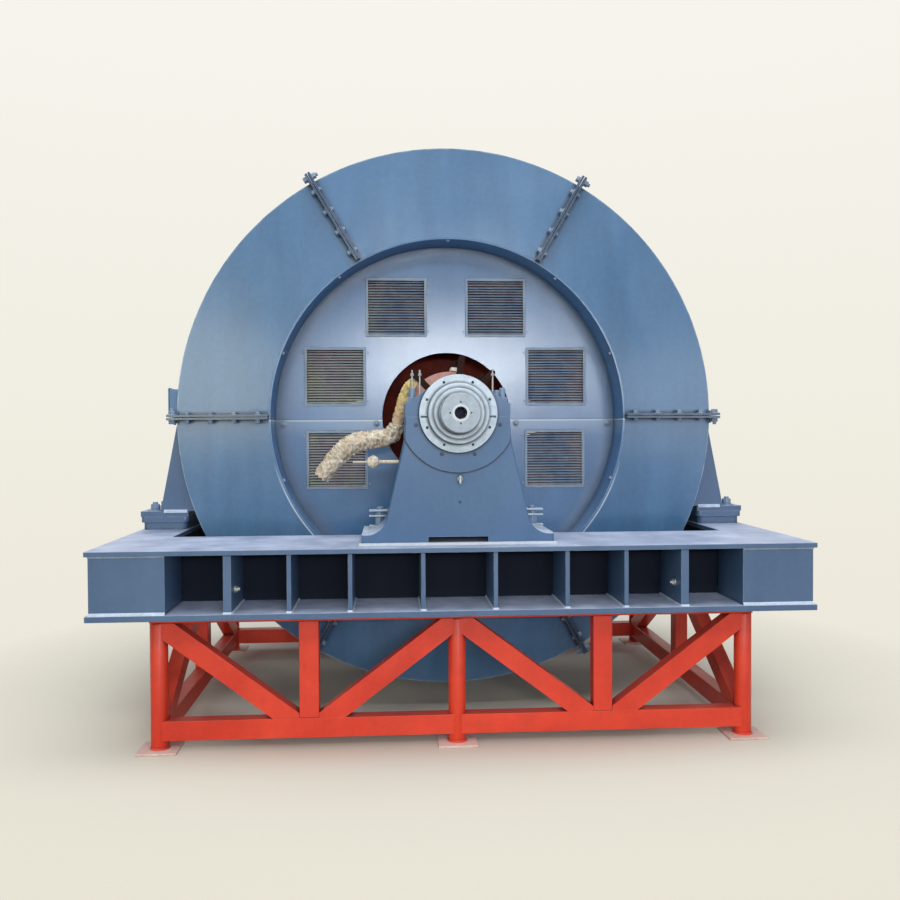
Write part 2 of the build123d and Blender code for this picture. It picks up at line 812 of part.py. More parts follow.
# Shaft: stepped, bored at its free end, with a keyed extension at the drive end
shaft_front = bed_front - shaft_front_overhang - mid_y
shaft_rear = -shaft_front
step = hub_seat_half_length
journal_end = pedestal_inset + pedestal_base_depth - bed_length / 2
with BuildPart() as shaft:
    for start, end, radius in (
        (shaft_front, sleeve_front, journal_radius - shaft_end_step),
        (sleeve_front, journal_end, journal_radius),
        (journal_end, -step, shaft_middle_radius),
        (-step, step, hub_seat_radius),
        (step, -journal_end, shaft_middle_radius),
        (-journal_end, shaft_rear, journal_radius),
    ):
        revolve(ring_profile(start, end, 0, radius), axis=shaft_axis)
    rear_length = shaft_rear + extension_length
    revolve(ring_profile(shaft_rear, rear_length, 0, extension_radius), axis=shaft_axis)
    with BuildSketch(elevation(mid_y + shaft_front)) as end_bore:
        Circle(end_bore_radius)
    extrude(amount=-end_bore_depth, mode=Mode.SUBTRACT)
    with BuildSketch(elevation(mid_y + shaft_front)) as end_screws:
        with PolarLocations(end_screw_circle, 4):
            Circle(end_screw_radius)
    extrude(amount=-end_screw_depth, mode=Mode.SUBTRACT)
    with Locations((0, mid_y + rear_length - key_length / 2, axis_z + extension_radius)):
        Box(keyway_width, key_length, 2 * keyway_depth, mode=Mode.SUBTRACT)
    chamfer(shaft.faces().sort_by(Axis.Y)[0].edges().sort_by(SortBy.LENGTH)[-1], end_chamfer)
save(shaft, "shaft")

# Rotor spider: hub, pierced web and rim
pole_tip_radius = core_inner_radius - air_gap
rim_outer_radius = pole_tip_radius - pole_height
rim_inner_radius = rim_outer_radius - rim_thickness
hub_radius = hub_seat_radius + hub_wall
spider_hole_circle = (hub_radius + rim_inner_radius) / 2
with BuildPart() as rotor_spider:
    hub_bore = hub_seat_radius + seat_gap
    revolve(ring_profile(-hub_half_length, hub_half_length, hub_bore, hub_radius), axis=shaft_axis)
    revolve(
        ring_profile(
            -spider_web_thickness / 2,
            spider_web_thickness / 2,
            hub_radius - weld_depth,
            rim_inner_radius + weld_depth,
        ),
        axis=shaft_axis,
    )
    revolve(
        ring_profile(-rim_half_length, rim_half_length, rim_inner_radius, rim_outer_radius),
        axis=shaft_axis,
    )
    with BuildSketch(elevation(mid_y + spider_web_thickness)) as web_holes:
        with PolarLocations(spider_hole_circle, spider_hole_count):
            Circle(spider_hole_radius)
    extrude(amount=2 * spider_web_thickness, mode=Mode.SUBTRACT)
save(rotor_spider, "rotor_spider")

# Poles: T-shaped blocks round the rim
with BuildPart() as rotor_poles:
    with BuildSketch(elevation(mid_y + pole_half_length)) as pole_section:
        with PolarLocations(rim_outer_radius, pole_count):
            with Locations((0, 0)):
                Rectangle(
                    pole_height - pole_shoe_height / 2, pole_core_width, align=(Align.MIN, Align.CENTER)
                )
            with Locations((pole_height - pole_shoe_height, 0)):
                Rectangle(pole_shoe_height, pole_shoe_width, align=(Align.MIN, Align.CENTER))
        Circle(pole_tip_radius, mode=Mode.INTERSECT)
        Circle(rim_outer_radius + seat_gap, mode=Mode.SUBTRACT)
    extrude(amount=2 * pole_half_length)
save(rotor_poles, "rotor_poles")

# Slip rings on an insulated hub between the front cover and the pedestal
with BuildPart() as slip_rings:
    slip_end = -slip_ring_start
    slip_begin = slip_end - slip_ring_pitch - slip_ring_width
    slip_bore = shaft_middle_radius + seat_gap
    slip_hub_radius = shaft_middle_radius + slip_hub_wall
    revolve(ring_profile(slip_begin, slip_end, slip_bore, slip_hub_radius), axis=shaft_axis)
    for start in (slip_begin, slip_end - slip_ring_width):
        revolve(
            ring_profile(start, start + slip_ring_width, slip_hub_radius - weld_depth, slip_ring_radius),
            axis=shaft_axis,
        )
save(slip_rings, "slip_rings")

# Brush gear: arms on the back of the bearing cap, each with a stud and brush boxes over the rings
carrier_start = cap_back + seat_gap - mid_y
arm_front = carrier_start + brush_arm_thickness
stud_end = slip_end + stud_overhang
stud_circle = slip_ring_radius + brush_gap + brush_box_height
arm_reach = stud_circle + brush_arm_width / 2
with BuildPart() as brush_gear:
    for angle in brush_arm_angles:
        with BuildSketch(elevation(mid_y + arm_front)) as arm:
            with Locations(Location((0, 0), angle)):
                with Locations(((cap_radius - brush_arm_root + arm_reach) / 2, 0)):
                    SlotOverall(arm_reach - cap_radius + brush_arm_root, brush_arm_width)
        extrude(amount=brush_arm_thickness)
        with BuildSketch(elevation(mid_y + stud_end)):
            with Locations((stud_circle * cos(radians(angle)), stud_circle * sin(radians(angle)))):
                Circle(stud_radius)
        extrude(amount=stud_end - carrier_start)
        for start in (slip_begin, slip_end - slip_ring_width):
            with BuildSketch(radial_plane(angle)):
                with Locations((start + slip_ring_width / 2, slip_ring_radius + brush_gap)):
                    Rectangle(slip_ring_width, brush_box_height, align=(Align.CENTER, Align.MIN))
            extrude(amount=brush_box_width / 2, both=True)
save(brush_gear, "brush_gear")

# Wrapped leads of the brush gear: a padded sleeve, then a bundle with a free end. They run from
# the back of the cap's left shoulder down past the pedestal's side.
def lead_points(places):
    """Points of a lead's route, each from the shaft axis and the front of the brush arms."""
    return [Vector(x, mid_y + arm_front + y, axis_z + z) for x, y, z in places]


def lead(points, radii, radius):
    """A round lead along straight runs joined by arcs."""
    with BuildPart() as tube:
        with BuildLine() as route:
            FilletPolyline(*points, radius=radii)
        start = route.line @ 0
        with BuildSketch(Plane(origin=start, z_dir=route.line % 0)):
            Circle(radius)
        sweep()
    return tube


sleeve_points = lead_points([(sleeve_route[0][0], 0, sleeve_rise), *sleeve_route])
lead_sleeve = lead(sleeve_points, sleeve_corners, sleeve_radius)
save(lead_sleeve, "lead_sleeve")

sleeve_end = sleeve_points[-1]
sleeve_way = (sleeve_end - sleeve_points[-2]).normalized()
bundle_points = [sleeve_end, sleeve_end + sleeve_way * bundle_start, *lead_points(bundle_route)]
lead_bundle = lead(bundle_points, bundle_corners, bundle_radius)
save(lead_bundle, "lead_bundle")

# Bearing thermometer with its wrapped head, in the side of the pedestal
side_rise = -pedestal_shoulder_below_axis - body_base
side_lean = (pedestal_waist - pedestal_shoulder) / side_rise
stem_low = thermometer_drop + thermometer_stem_radius
thermometer_start = pedestal_shoulder + side_lean * (stem_low - pedestal_shoulder_below_axis) + seat_gap
thermometer_origin = (0, pedestal_front + thermometer_inset, axis_z - thermometer_drop)
head_start = thermometer_start + thermometer_stem_length
head_end = head_start + thermometer_head[-1][0]
lead_end = head_end + thermometer_lead_length
with BuildPart() as bearing_thermometer:
    with BuildSketch(Plane(origin=thermometer_origin, x_dir=(-1, 0, 0), z_dir=(0, 1, 0))):
        with BuildLine():
            Polyline(
                (thermometer_start, 0),
                (thermometer_start, thermometer_stem_radius),
                (head_start, thermometer_stem_radius),
                *[(head_start + along, radius) for along, radius in thermometer_head],
                (head_end, thermometer_lead_radius),
                (lead_end, thermometer_lead_radius),
                (lead_end, 0),
                close=True,
            )
        make_face()
    revolve(axis=Axis(thermometer_origin, (1, 0, 0)))
save(bearing_thermometer, "bearing_thermometer")

# Small box on the side of the housing
with BuildPart() as housing_box:
    with Locations((-housing_radius, mid_y - housing_half_length + box_inset, axis_z + box_rise)):
        Box(2 * box_stand_out, box_length, box_height)
    fillet(housing_box.edges().filter_by(Axis.X), box_corner)
    with Locations(Location((0, mid_y, axis_z), (90, 0, 0))):
        Cylinder(housing_radius + seat_gap, bed_length, mode=Mode.SUBTRACT)
save(housing_box, "housing_box")
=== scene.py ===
"""A large synchronous motor on its bedplate and trussed stand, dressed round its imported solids."""

import math

import bmesh
import bpy
from mathutils import Matrix, Vector, noise


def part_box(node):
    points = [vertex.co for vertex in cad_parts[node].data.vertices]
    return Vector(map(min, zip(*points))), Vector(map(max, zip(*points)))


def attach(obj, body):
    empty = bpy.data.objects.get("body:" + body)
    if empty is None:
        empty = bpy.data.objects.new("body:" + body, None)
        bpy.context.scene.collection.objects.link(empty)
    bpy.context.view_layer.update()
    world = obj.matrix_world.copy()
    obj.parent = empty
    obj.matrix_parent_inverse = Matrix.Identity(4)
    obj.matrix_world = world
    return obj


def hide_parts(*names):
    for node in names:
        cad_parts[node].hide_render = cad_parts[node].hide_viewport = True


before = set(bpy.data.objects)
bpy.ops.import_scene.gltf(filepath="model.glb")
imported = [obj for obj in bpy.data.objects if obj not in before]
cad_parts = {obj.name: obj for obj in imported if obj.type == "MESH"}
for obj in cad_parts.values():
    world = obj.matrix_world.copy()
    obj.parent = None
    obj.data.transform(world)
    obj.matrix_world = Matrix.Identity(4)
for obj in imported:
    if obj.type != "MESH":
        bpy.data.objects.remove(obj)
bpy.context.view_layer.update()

# Camera. A photographer's eye a little left of the shaft, close in front of the bedplate,
# turned slightly to the right and down. The lens is a moderate wide angle.
camera_data = bpy.data.cameras.new("camera")
camera_data.sensor_width = 36
camera_data.lens = 36.13
camera = bpy.data.objects.new("camera", camera_data)
camera.location = (-0.327, -5.833, 1.600)
camera.rotation_euler = (math.radians(90) - 0.019, 0.005, -0.064)
bpy.context.scene.collection.objects.link(camera)
bpy.context.scene.camera = camera
bpy.context.scene.view_settings.view_transform = "Standard"


# Studio backdrop. Cream paper that runs from a warm tone low down to a paler one high up. Only
# direct, mirrored and see-through rays meet it, and the motor is lit by a cooler, dimmer sky.
def wired(tree, kind, values=None, **settings):
    """Adds a node, sets its options, and fills its sockets with values or links."""
    made = tree.nodes.new(kind)
    for name, value in settings.items():
        setattr(made, name, value)
    for name, value in (values or {}).items():
        if isinstance(value, bpy.types.NodeSocket):
            tree.links.new(value, made.inputs[name])
        else:
            made.inputs[name].default_value = value
    return made


def plain(*colour):
    """A colour with full cover, for a socket."""
    return (*colour, 1.0)


def blend_of(tree, share, first, second):
    """A colour between two others, by the share of the second."""
    mixed = wired(tree, "ShaderNodeMix", {"Factor": share, 6: first, 7: second}, data_type="RGBA")
    return mixed.outputs[2]


def ramp_of(tree, value, start, end, low=0.0, high=1.0):
    """A value spread evenly from low at start to high at end, and held there."""
    spread = wired(
        tree,
        "ShaderNodeMapRange",
        {"Value": value, "From Min": start, "From Max": end, "To Min": low, "To Max": high},
    )
    return spread.outputs[0]


def worked(tree, operation, first, second=0.5, third=0.5):
    """One step of arithmetic."""
    return wired(tree, "ShaderNodeMath", {0: first, 1: second, 2: third}, operation=operation).outputs[0]


def parts_of(tree, vector):
    """The X, Y and Z of a vector."""
    return wired(tree, "ShaderNodeSeparateXYZ", {"Vector": vector}).outputs


backdrop_low = plain(0.810, 0.770, 0.655)
backdrop_high = plain(0.925, 0.908, 0.845)
backdrop_span = (-0.46, 0.43)
sky_low = plain(0.07, 0.074, 0.082)
sky_high = plain(0.44, 0.47, 0.52)
sky_span = (-0.1, 0.9)

world = bpy.data.worlds.new("studio")
world.use_nodes = True
bpy.context.scene.world = world
tree = world.node_tree
tree.nodes.clear()
way = wired(tree, "ShaderNodeTexCoord").outputs["Generated"]
rise = parts_of(tree, way)["Z"]
paper = blend_of(tree, ramp_of(tree, rise, *backdrop_span), backdrop_low, backdrop_high)
sky = blend_of(tree, ramp_of(tree, rise, *sky_span), sky_low, sky_high)
seen = wired(tree, "ShaderNodeBackground", {"Color": paper, "Strength": 1.0})
light = wired(tree, "ShaderNodeBackground", {"Color": sky, "Strength": 1.0})
paths = wired(tree, "ShaderNodeLightPath").outputs
direct = worked(tree, "MAXIMUM", paths["Is Camera Ray"], paths["Is Transmission Ray"])
direct = worked(tree, "MAXIMUM", direct, paths["Is Glossy Ray"])
chosen = wired(tree, "ShaderNodeMixShader", {0: direct, 1: light.outputs[0], 2: seen.outputs[0]})
wired(tree, "ShaderNodeOutputWorld", {"Surface": chosen.outputs[0]})


# Studio lamps. A broad ceiling light, a strip high up in front, two small lights low at the
# photographer's sides, a greenish light and a cool one further out, and a window behind the
# photographer that shines back from the recessed cover.
def softbox(name, place, aim, size, power, colour):
    """A rectangular area lamp at place that faces aim."""
    data = bpy.data.lights.new(name, "AREA")
    data.shape = "RECTANGLE"
    data.size, data.size_y = size
    data.energy = power
    data.color = colour
    lamp = bpy.data.objects.new(name, data)
    lamp.location = place
    lamp.rotation_euler = (Vector(aim) - Vector(place)).to_track_quat("-Z", "Y").to_euler()
    bpy.context.scene.collection.objects.link(lamp)


softbox("high_light", (0.3, -2.0, 9.2), (0, -0.9, 1), (9, 5), 480, (0.96, 0.98, 1.0))
softbox("front_light", (0.4, -8.6, 6.3), (0, -0.6, 1.6), (4.5, 1.2), 185, (0.97, 0.98, 1.0))
softbox("near_left_light", (-2.0, -9.0, 2.6), (0, -0.6, 1.4), (1.2, 1.5), 28, (0.97, 0.98, 1.0))
softbox("near_right_light", (3.0, -9.0, 2.6), (0, -0.6, 1.4), (1.2, 1.5), 55, (0.97, 0.98, 1.0))
softbox("left_light", (-6.7, -9.0, 3.0), (0, -0.6, 1.4), (3.0, 4.0), 200, (1.0, 1.0, 0.80))
softbox("right_light", (8.0, -9.0, 2.4), (0, -0.6, 1.4), (3.2, 3.4), 95, (0.93, 0.97, 1.0))
softbox("window_light", (0.72, -12.0, 2.85), (0, -0.4, 2.1), (3.2, 0.8), 370, (0.98, 0.99, 1.0))


# Floor. The same cream as the backdrop. It catches the shadow close by and fades into the
# backdrop further off, so that no horizon shows.
def place_of(tree):
    """Where a point is in its object's own frame."""
    return wired(tree, "ShaderNodeTexCoord").outputs["Object"]


floor_half = 16
floor_solid_to = 1.5
floor_gone_at = 3.6
floor_colour = plain(0.70, 0.665, 0.565)

floor_mesh = bmesh.new()
bmesh.ops.create_grid(floor_mesh, x_segments=1, y_segments=1, size=floor_half)
floor_data = bpy.data.meshes.new("floor")
floor_mesh.to_mesh(floor_data)
floor_mesh.free()
floor = bpy.data.objects.new("floor", floor_data)
bpy.context.scene.collection.objects.link(floor)

floor_paper = bpy.data.materials.new("floor_paper")
floor_paper.use_nodes = True
tree = floor_paper.node_tree
tree.nodes.clear()
reach = wired(tree, "ShaderNodeVectorMath", {0: place_of(tree)}, operation="LENGTH").outputs["Value"]
fade = ramp_of(tree, reach, floor_solid_to, floor_gone_at)
matt = wired(tree, "ShaderNodeBsdfDiffuse", {"Color": floor_colour})
clear = wired(tree, "ShaderNodeBsdfTransparent")
joined = wired(tree, "ShaderNodeMixShader", {0: fade, 1: matt.outputs[0], 2: clear.outputs[0]})
wired(tree, "ShaderNodeOutputMaterial", {"Surface": joined.outputs[0]})
floor_data.materials.append(floor_paper)


# Bedplate. Plates, webs and ribs cut from thick sheet, welded into box beams, and brushed with
# blue-grey machine enamel that is uneven in tone, dusty and painted pale with top light on top, worn
# and painted with highlights along the edges, and painted darker as shade in corners.
def effect(name, inputs, outputs):
    """A shader node group with named sockets, and its first and last nodes."""
    group = bpy.data.node_groups.new(name, "ShaderNodeTree")
    for label, kind, value in inputs:
        socket = group.interface.new_socket(label, in_out="INPUT", socket_type=kind)
        socket.default_value = value
    for label, kind in outputs:
        group.interface.new_socket(label, in_out="OUTPUT", socket_type=kind)
    return group, group.nodes.new("NodeGroupInput").outputs, group.nodes.new("NodeGroupOutput").inputs


def noise_of(tree, where, scale, detail, roughness=0.5, distortion=0.0):
    """Soft random values, spread over space."""
    values = {"Vector": where, "Scale": scale, "Detail": detail}
    values.update({"Roughness": roughness, "Distortion": distortion})
    return wired(tree, "ShaderNodeTexNoise", values).outputs["Fac"]


number = "NodeSocketFloat"
tint = "NodeSocketColor"
grey = plain(0.5, 0.5, 0.5)

uneven_tone, given, result = effect(
    "uneven_tone",
    [
        ("Colour", tint, grey),
        ("Other Colour", tint, grey),
        ("Patch Size", number, 0.6),
        ("Mottle", number, 0.1),
        ("Streaks", number, 0.1),
    ],
    [("Colour", tint), ("Patches", number)],
)
tree = uneven_tone
where = place_of(tree)
pace = worked(tree, "DIVIDE", 1.0, given["Patch Size"])
patches = ramp_of(tree, noise_of(tree, where, pace, 3.0, 0.55, 0.6), 0.32, 0.68)
grain = ramp_of(tree, noise_of(tree, where, 34.0, 6.0, 0.65), 0.3, 0.7, -1, 1)
speckle = worked(tree, "MULTIPLY", grain, given["Mottle"])
drawn_out = wired(tree, "ShaderNodeMapping", {"Vector": where, "Scale": (7.0, 7.0, 0.8)})
runs = ramp_of(tree, noise_of(tree, drawn_out.outputs[0], 1.0, 4.0), 0.35, 0.65, -1, 1)
streaks = worked(tree, "MULTIPLY", runs, given["Streaks"])
level = worked(tree, "ADD", worked(tree, "ADD", speckle, 1.0), streaks)
tone = blend_of(tree, patches, given["Colour"], given["Other Colour"])
toned = wired(tree, "ShaderNodeVectorMath", {0: tone, 3: level}, operation="SCALE").outputs[0]
tree.links.new(toned, result["Colour"])
tree.links.new(patches, result["Patches"])

# Dust on upward faces, together with a painted top light that makes them paler.
dust_and_top_light, given, result = effect("dust_and_top_light", [("Amount", number, 0.3)], [("Mask", number)])
tree = dust_and_top_light
facing = wired(tree, "ShaderNodeNewGeometry").outputs["Normal"]
upward = ramp_of(tree, parts_of(tree, facing)["Z"], 0.35, 0.95)
drifts = noise_of(tree, place_of(tree), 5.0, 6.0, 0.6)
laid = worked(tree, "MULTIPLY", upward, ramp_of(tree, drifts, 0.3, 0.7, 0.4, 1.0))
tree.links.new(worked(tree, "MULTIPLY", laid, given["Amount"]), result["Mask"])

# Worn edges together with painted highlights: sharp edges are made paler.
worn_and_highlit_edges, given, result = effect(
    "worn_and_highlit_edges", [("Width", number, 0.004), ("Amount", number, 0.5)], [("Mask", number)]
)
tree = worn_and_highlit_edges
flat_way = wired(tree, "ShaderNodeNewGeometry").outputs["Normal"]
round_way = wired(tree, "ShaderNodeBevel", {"Radius": given["Width"]}, samples=4).outputs[0]
along = wired(tree, "ShaderNodeVectorMath", {0: flat_way, 1: round_way}, operation="DOT_PRODUCT")
near_edge = ramp_of(tree, along.outputs["Value"], 0.995, 0.9)
patchy = noise_of(tree, place_of(tree), 16.0, 4.0)
worn_and_highlit = worked(tree, "MULTIPLY", near_edge, ramp_of(tree, patchy, 0.35, 0.6))
tree.links.new(worked(tree, "MULTIPLY", worn_and_highlit, given["Amount"]), result["Mask"])

brushed_skin, given, result = effect(
    "brushed_skin", [("Peel", number, 0.3), ("Waves", number, 0.3)], [("Height", number)]
)
tree = brushed_skin
where = place_of(tree)
peel = worked(tree, "MULTIPLY", noise_of(tree, where, 220.0, 2.0), given["Peel"])
swell = worked(tree, "MULTIPLY", noise_of(tree, where, 4.0, 2.0), given["Waves"])
tree.links.new(worked(tree, "ADD", peel, swell), result["Height"])

# Painted shade: enclosed corners, creases and recesses are darkened.
painted_crevice_shade, given, result = effect(
    "painted_crevice_shade", [("Reach", number, 0.03), ("Amount", number, 0.5)], [("Mask", number)]
)
tree = painted_crevice_shade
shelter = wired(tree, "ShaderNodeAmbientOcclusion", {"Distance": given["Reach"]}, samples=6)
enclosed = ramp_of(tree, shelter.outputs["AO"], 0.80, 0.35)
tree.links.new(worked(tree, "MULTIPLY", enclosed, given["Amount"]), result["Mask"])


def grouped(tree, group, values):
    """Places a node group in a material with its own values."""
    return wired(tree, "ShaderNodeGroup", values, node_tree=group).outputs


def started(name):
    """A new material with an empty node tree."""
    material = bpy.data.materials.new(name)
    material.use_nodes = True
    material.node_tree.nodes.clear()
    return material, material.node_tree


def bumped(tree, height, strength, distance):
    """The way a bumpy surface faces, from its height."""
    values = {"Height": height, "Strength": strength, "Distance": distance}
    return wired(tree, "ShaderNodeBump", values).outputs[0]


def surfaced(tree, values):
    """Joins a surface with its values to the material's output."""
    shader = wired(tree, "ShaderNodeBsdfPrincipled", values)
    wired(tree, "ShaderNodeOutputMaterial", {"Surface": shader.outputs[0]})
    return shader


# The dark tone of painted shade, and how much dust and enclosed corners roughen the finish.
painted_shade_tone = plain(0.016, 0.022, 0.034)
dulled_by_dust = 0.25
rougher_in_crevices = 0.5


def enamel(name, colour, other_colour, edge_wear_and_highlight_colour, top_dust_and_light=0.3, edge_wear_and_highlight=0.5, rough=(0.30, 0.42), patch=0.7,
           mottle=0.05, streaks=0.05, waves=0.9, dust_and_top_light_colour=(0.50, 0.52, 0.55), tinted=None,
           crevice_shade=0.6, crevice_shade_reach=0.03, edge_wear_and_highlight_width=0.004, shine=0.5, bare=None):
    """Machine enamel over steel, from two tones, with dust and painted top light, painted shade, and worn,
    highlit edges.
    """
    material, tree = started(name)
    tones = {"Colour": plain(*colour), "Other Colour": plain(*other_colour), "Patch Size": patch}
    tone = grouped(tree, uneven_tone, {**tones, "Mottle": mottle, "Streaks": streaks})
    coat = tinted(tree, tone["Colour"]) if tinted else tone["Colour"]
    dust_and_top_light_mask = grouped(tree, dust_and_top_light, {"Amount": top_dust_and_light})["Mask"]
    wear_and_highlight = grouped(tree, worn_and_highlit_edges, {"Amount": edge_wear_and_highlight, "Width": edge_wear_and_highlight_width})["Mask"]
    crevice_shade_mask = grouped(tree, painted_crevice_shade, {"Amount": crevice_shade, "Reach": crevice_shade_reach})["Mask"]
    coat = blend_of(tree, dust_and_top_light_mask, coat, plain(*dust_and_top_light_colour))
    coat = blend_of(tree, crevice_shade_mask, coat, painted_shade_tone)
    coat = blend_of(tree, wear_and_highlight, coat, plain(*edge_wear_and_highlight_colour))
    gloss = ramp_of(tree, tone["Patches"], 0, 1, *rough)
    gloss = worked(tree, "ADD", gloss, worked(tree, "MULTIPLY", dust_and_top_light_mask, dulled_by_dust))
    gloss = worked(tree, "ADD", gloss, worked(tree, "MULTIPLY", crevice_shade_mask, rougher_in_crevices))
    skin = grouped(tree, brushed_skin, {"Peel": 0.2, "Waves": waves})["Height"]
    values = {"Base Color": coat, "Roughness": gloss, "Normal": bumped(tree, skin, 0.2, 0.004)}
    shader = surfaced(tree, {**values, "Specular IOR Level": shine})
    if bare:
        tree.links.new(bare(tree), shader.inputs["Metallic"])
    return material


def dress(material, *names, edge=0.003):
    """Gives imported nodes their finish, and rounds their sharp edges."""
    for name in names:
        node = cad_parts[name]
        node.data.materials.clear()
        node.data.materials.append(material)
        if edge:
            joined = node.modifiers.new("joined", "WELD")
            joined.merge_threshold = 0.00002
            flat = node.modifiers.new("flat", "DECIMATE")
            flat.decimate_type = "DISSOLVE"
            flat.angle_limit = math.radians(2)
            rounded = node.modifiers.new("rounded", "BEVEL")
            rounded.width = edge
            rounded.segments = 2
            rounded.limit_method = "ANGLE"
            rounded.angle_limit = math.radians(35)
            rounded.harden_normals = True


blue = (0.060, 0.143, 0.272)
blue_other = (0.086, 0.170, 0.294)
blue_wear_and_highlight = (0.36, 0.44, 0.54)
bed_enamel = enamel(
    "bed_enamel", (0.052, 0.104, 0.202), (0.068, 0.122, 0.218), blue_wear_and_highlight, top_dust_and_light=0.95, edge_wear_and_highlight=0.8,
    dust_and_top_light_colour=(0.54, 0.60, 0.77),
)
# Near-black paint on the bays' webs: painted shade deep inside the bays.
bay_painted_shade = enamel(
    "bay_painted_shade", (0.006, 0.009, 0.018), (0.010, 0.014, 0.026), (0.06, 0.08, 0.12), rough=(0.6, 0.75),
    shine=0.12,
)
dress(bed_enamel, "bed_cross_plates", "bed_side_plates", "bed_ribs", "bed_corner_boxes")
dress(bay_painted_shade, "bed_cross_webs", "bed_side_webs")


# Weld seams of the bedplate. Hand-laid fillets where ribs and corner boxes stand on the plates,
# painted over with the rest, and given a much paler tone as a painted highlight along the ridges.
def seat(place, outward):
    """Where a small piece sits, its own Z along outward."""
    return Matrix.Translation(place) @ Vector(outward).to_track_quat("Z", "Y").to_matrix().to_4x4()


def finished(name, mesh, material, body="machine", bend=32):
    """Turns a bmesh into a piece on its body, with its gentle edges smooth."""
    bmesh.ops.recalc_face_normals(mesh, faces=mesh.faces)
    data = bpy.data.meshes.new(name)
    mesh.to_mesh(data)
    mesh.free()
    data.polygons.foreach_set("use_smooth", [True] * len(data.polygons))
    data.set_sharp_from_angle(angle=math.radians(bend))
    data.materials.append(material)
    made = bpy.data.objects.new(name, data)
    bpy.context.scene.collection.objects.link(made)
    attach(made, body)
    return made


def weld_bead(mesh, start, end, first_leg, second_leg, bulge=0.62):
    """A fillet weld from start to end, its two legs along the plates that it joins."""
    start, end = Vector(start), Vector(end)
    first_leg, second_leg = Vector(first_leg), Vector(second_leg)
    crown = (first_leg + second_leg) * bulge
    corners = [start, start + first_leg, start + crown, start + second_leg]
    toe = mesh.faces.new([mesh.verts.new(corner) for corner in corners])
    grown = bmesh.ops.extrude_face_region(mesh, geom=[toe], use_keep_orig=True)
    moved = [item for item in grown["geom"] if isinstance(item, bmesh.types.BMVert)]
    bmesh.ops.translate(mesh, verts=moved, vec=end - start)


bead_leg = 0.008
bed_low, bed_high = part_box("bed_cross_plates")
rib_low, rib_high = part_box("bed_ribs")
mid_y = (bed_low[1] + bed_high[1]) / 2
rib_places = [0.1785, 0.5355, 0.831, 1.127]
rib_half_widths = [0.011, 0.011, 0.011, 0.020]
bay_length = 0.36
bed_beads = bmesh.new()
for end in (-1, 1):
    front = rib_low[1] if end < 0 else rib_high[1]
    for place, half in zip(rib_places, rib_half_widths):
        for side in (-1, 1):
            x = side * place
            for face in (-1, 1):
                foot = (x + face * half, front, rib_low[2])
                back = (x + face * half, front - end * bay_length, rib_low[2])
                weld_bead(bed_beads, foot, back, (face * bead_leg, 0, 0), (0, 0, bead_leg))
            left, right = ((x + face * half, front, rib_low[2]) for face in (-1, 1))
            weld_bead(bed_beads, left, right, (0, end * bead_leg, 0), (0, 0, bead_leg))
box_low, box_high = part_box("bed_corner_boxes")
corner_box_width = 0.362
ledge_leg = 0.013
for end in (-1, 1):
    y = box_low[1] if end < 0 else box_high[1]
    for side in (-1, 1):
        outer = box_high[0] * side
        inner = outer - side * corner_box_width
        for z, rise_way in ((box_low[2], 1), (box_high[2], -1)):
            leg = ledge_leg if rise_way > 0 else bead_leg
            weld_bead(bed_beads, (outer, y, z), (inner, y, z), (0, end * leg, 0), (0, 0, rise_way * leg))
weld_highlight_enamel = enamel(
    "weld_highlight_enamel", (0.30, 0.39, 0.53), (0.42, 0.50, 0.62), (0.66, 0.72, 0.80), patch=0.03,
    mottle=0.25, edge_wear_and_highlight=0.8, top_dust_and_light=0.8, dust_and_top_light_colour=(0.66, 0.72, 0.82), crevice_shade=0.2,
)
finished("bed_weld_beads", bed_beads, weld_highlight_enamel)


# Bed fittings. A stud for an earthing cable, with its collar and hexagon, stands out of each thick
# rib. It is turned steel, plated and left unpainted.
def disc(mesh, where, radius, base, height, sides=20, ease=0.0, top_radius=None):
    """A closed round or many-sided block along its own Z, its top edge eased."""
    made = bmesh.ops.create_cone(
        mesh,
        cap_ends=True,
        segments=sides,
        radius1=radius,
        radius2=radius if top_radius is None else top_radius,
        depth=height,
        matrix=where @ Matrix.Translation((0, 0, base + height / 2)),
    )
    if ease:
        middle = where @ Vector((0, 0, base + height / 2))
        outward = where.to_3x3() @ Vector((0, 0, 1))
        top = {vert for vert in made["verts"] if (vert.co - middle).dot(outward) > 0}
        rim = {edge for vert in top for edge in vert.link_edges if set(edge.verts) <= top}
        bmesh.ops.bevel(
            mesh, geom=list(rim), offset=ease, segments=2, profile=0.5, affect="EDGES", material=-1
        )


def stacked(mesh, where, blocks):
    """Blocks on one axis, from the radius, base, height, sides and eased edge of each."""
    for block in blocks:
        disc(mesh, where, *block)


def bare_metal(name, colour, rough, metallic=1.0, grain=60.0, stain=(0.3, 0.3, 0.3), stain_share=0.3):
    """Plated or turned metal with fine scratches and a little tarnish."""
    material, tree = started(name)
    where = place_of(tree)
    tarnish = noise_of(tree, where, grain, 5.0, 0.6)
    spots = ramp_of(tree, tarnish, 0.45, 0.75, 0.0, stain_share)
    tone = blend_of(tree, spots, plain(*colour), plain(*stain))
    gloss = ramp_of(tree, tarnish, 0.3, 0.7, rough - 0.08, rough + 0.12)
    scratched = bumped(tree, noise_of(tree, where, grain * 8, 2.0), 0.15, 0.001)
    surfaced(tree, {"Base Color": tone, "Metallic": metallic, "Roughness": gloss, "Normal": scratched})
    return material


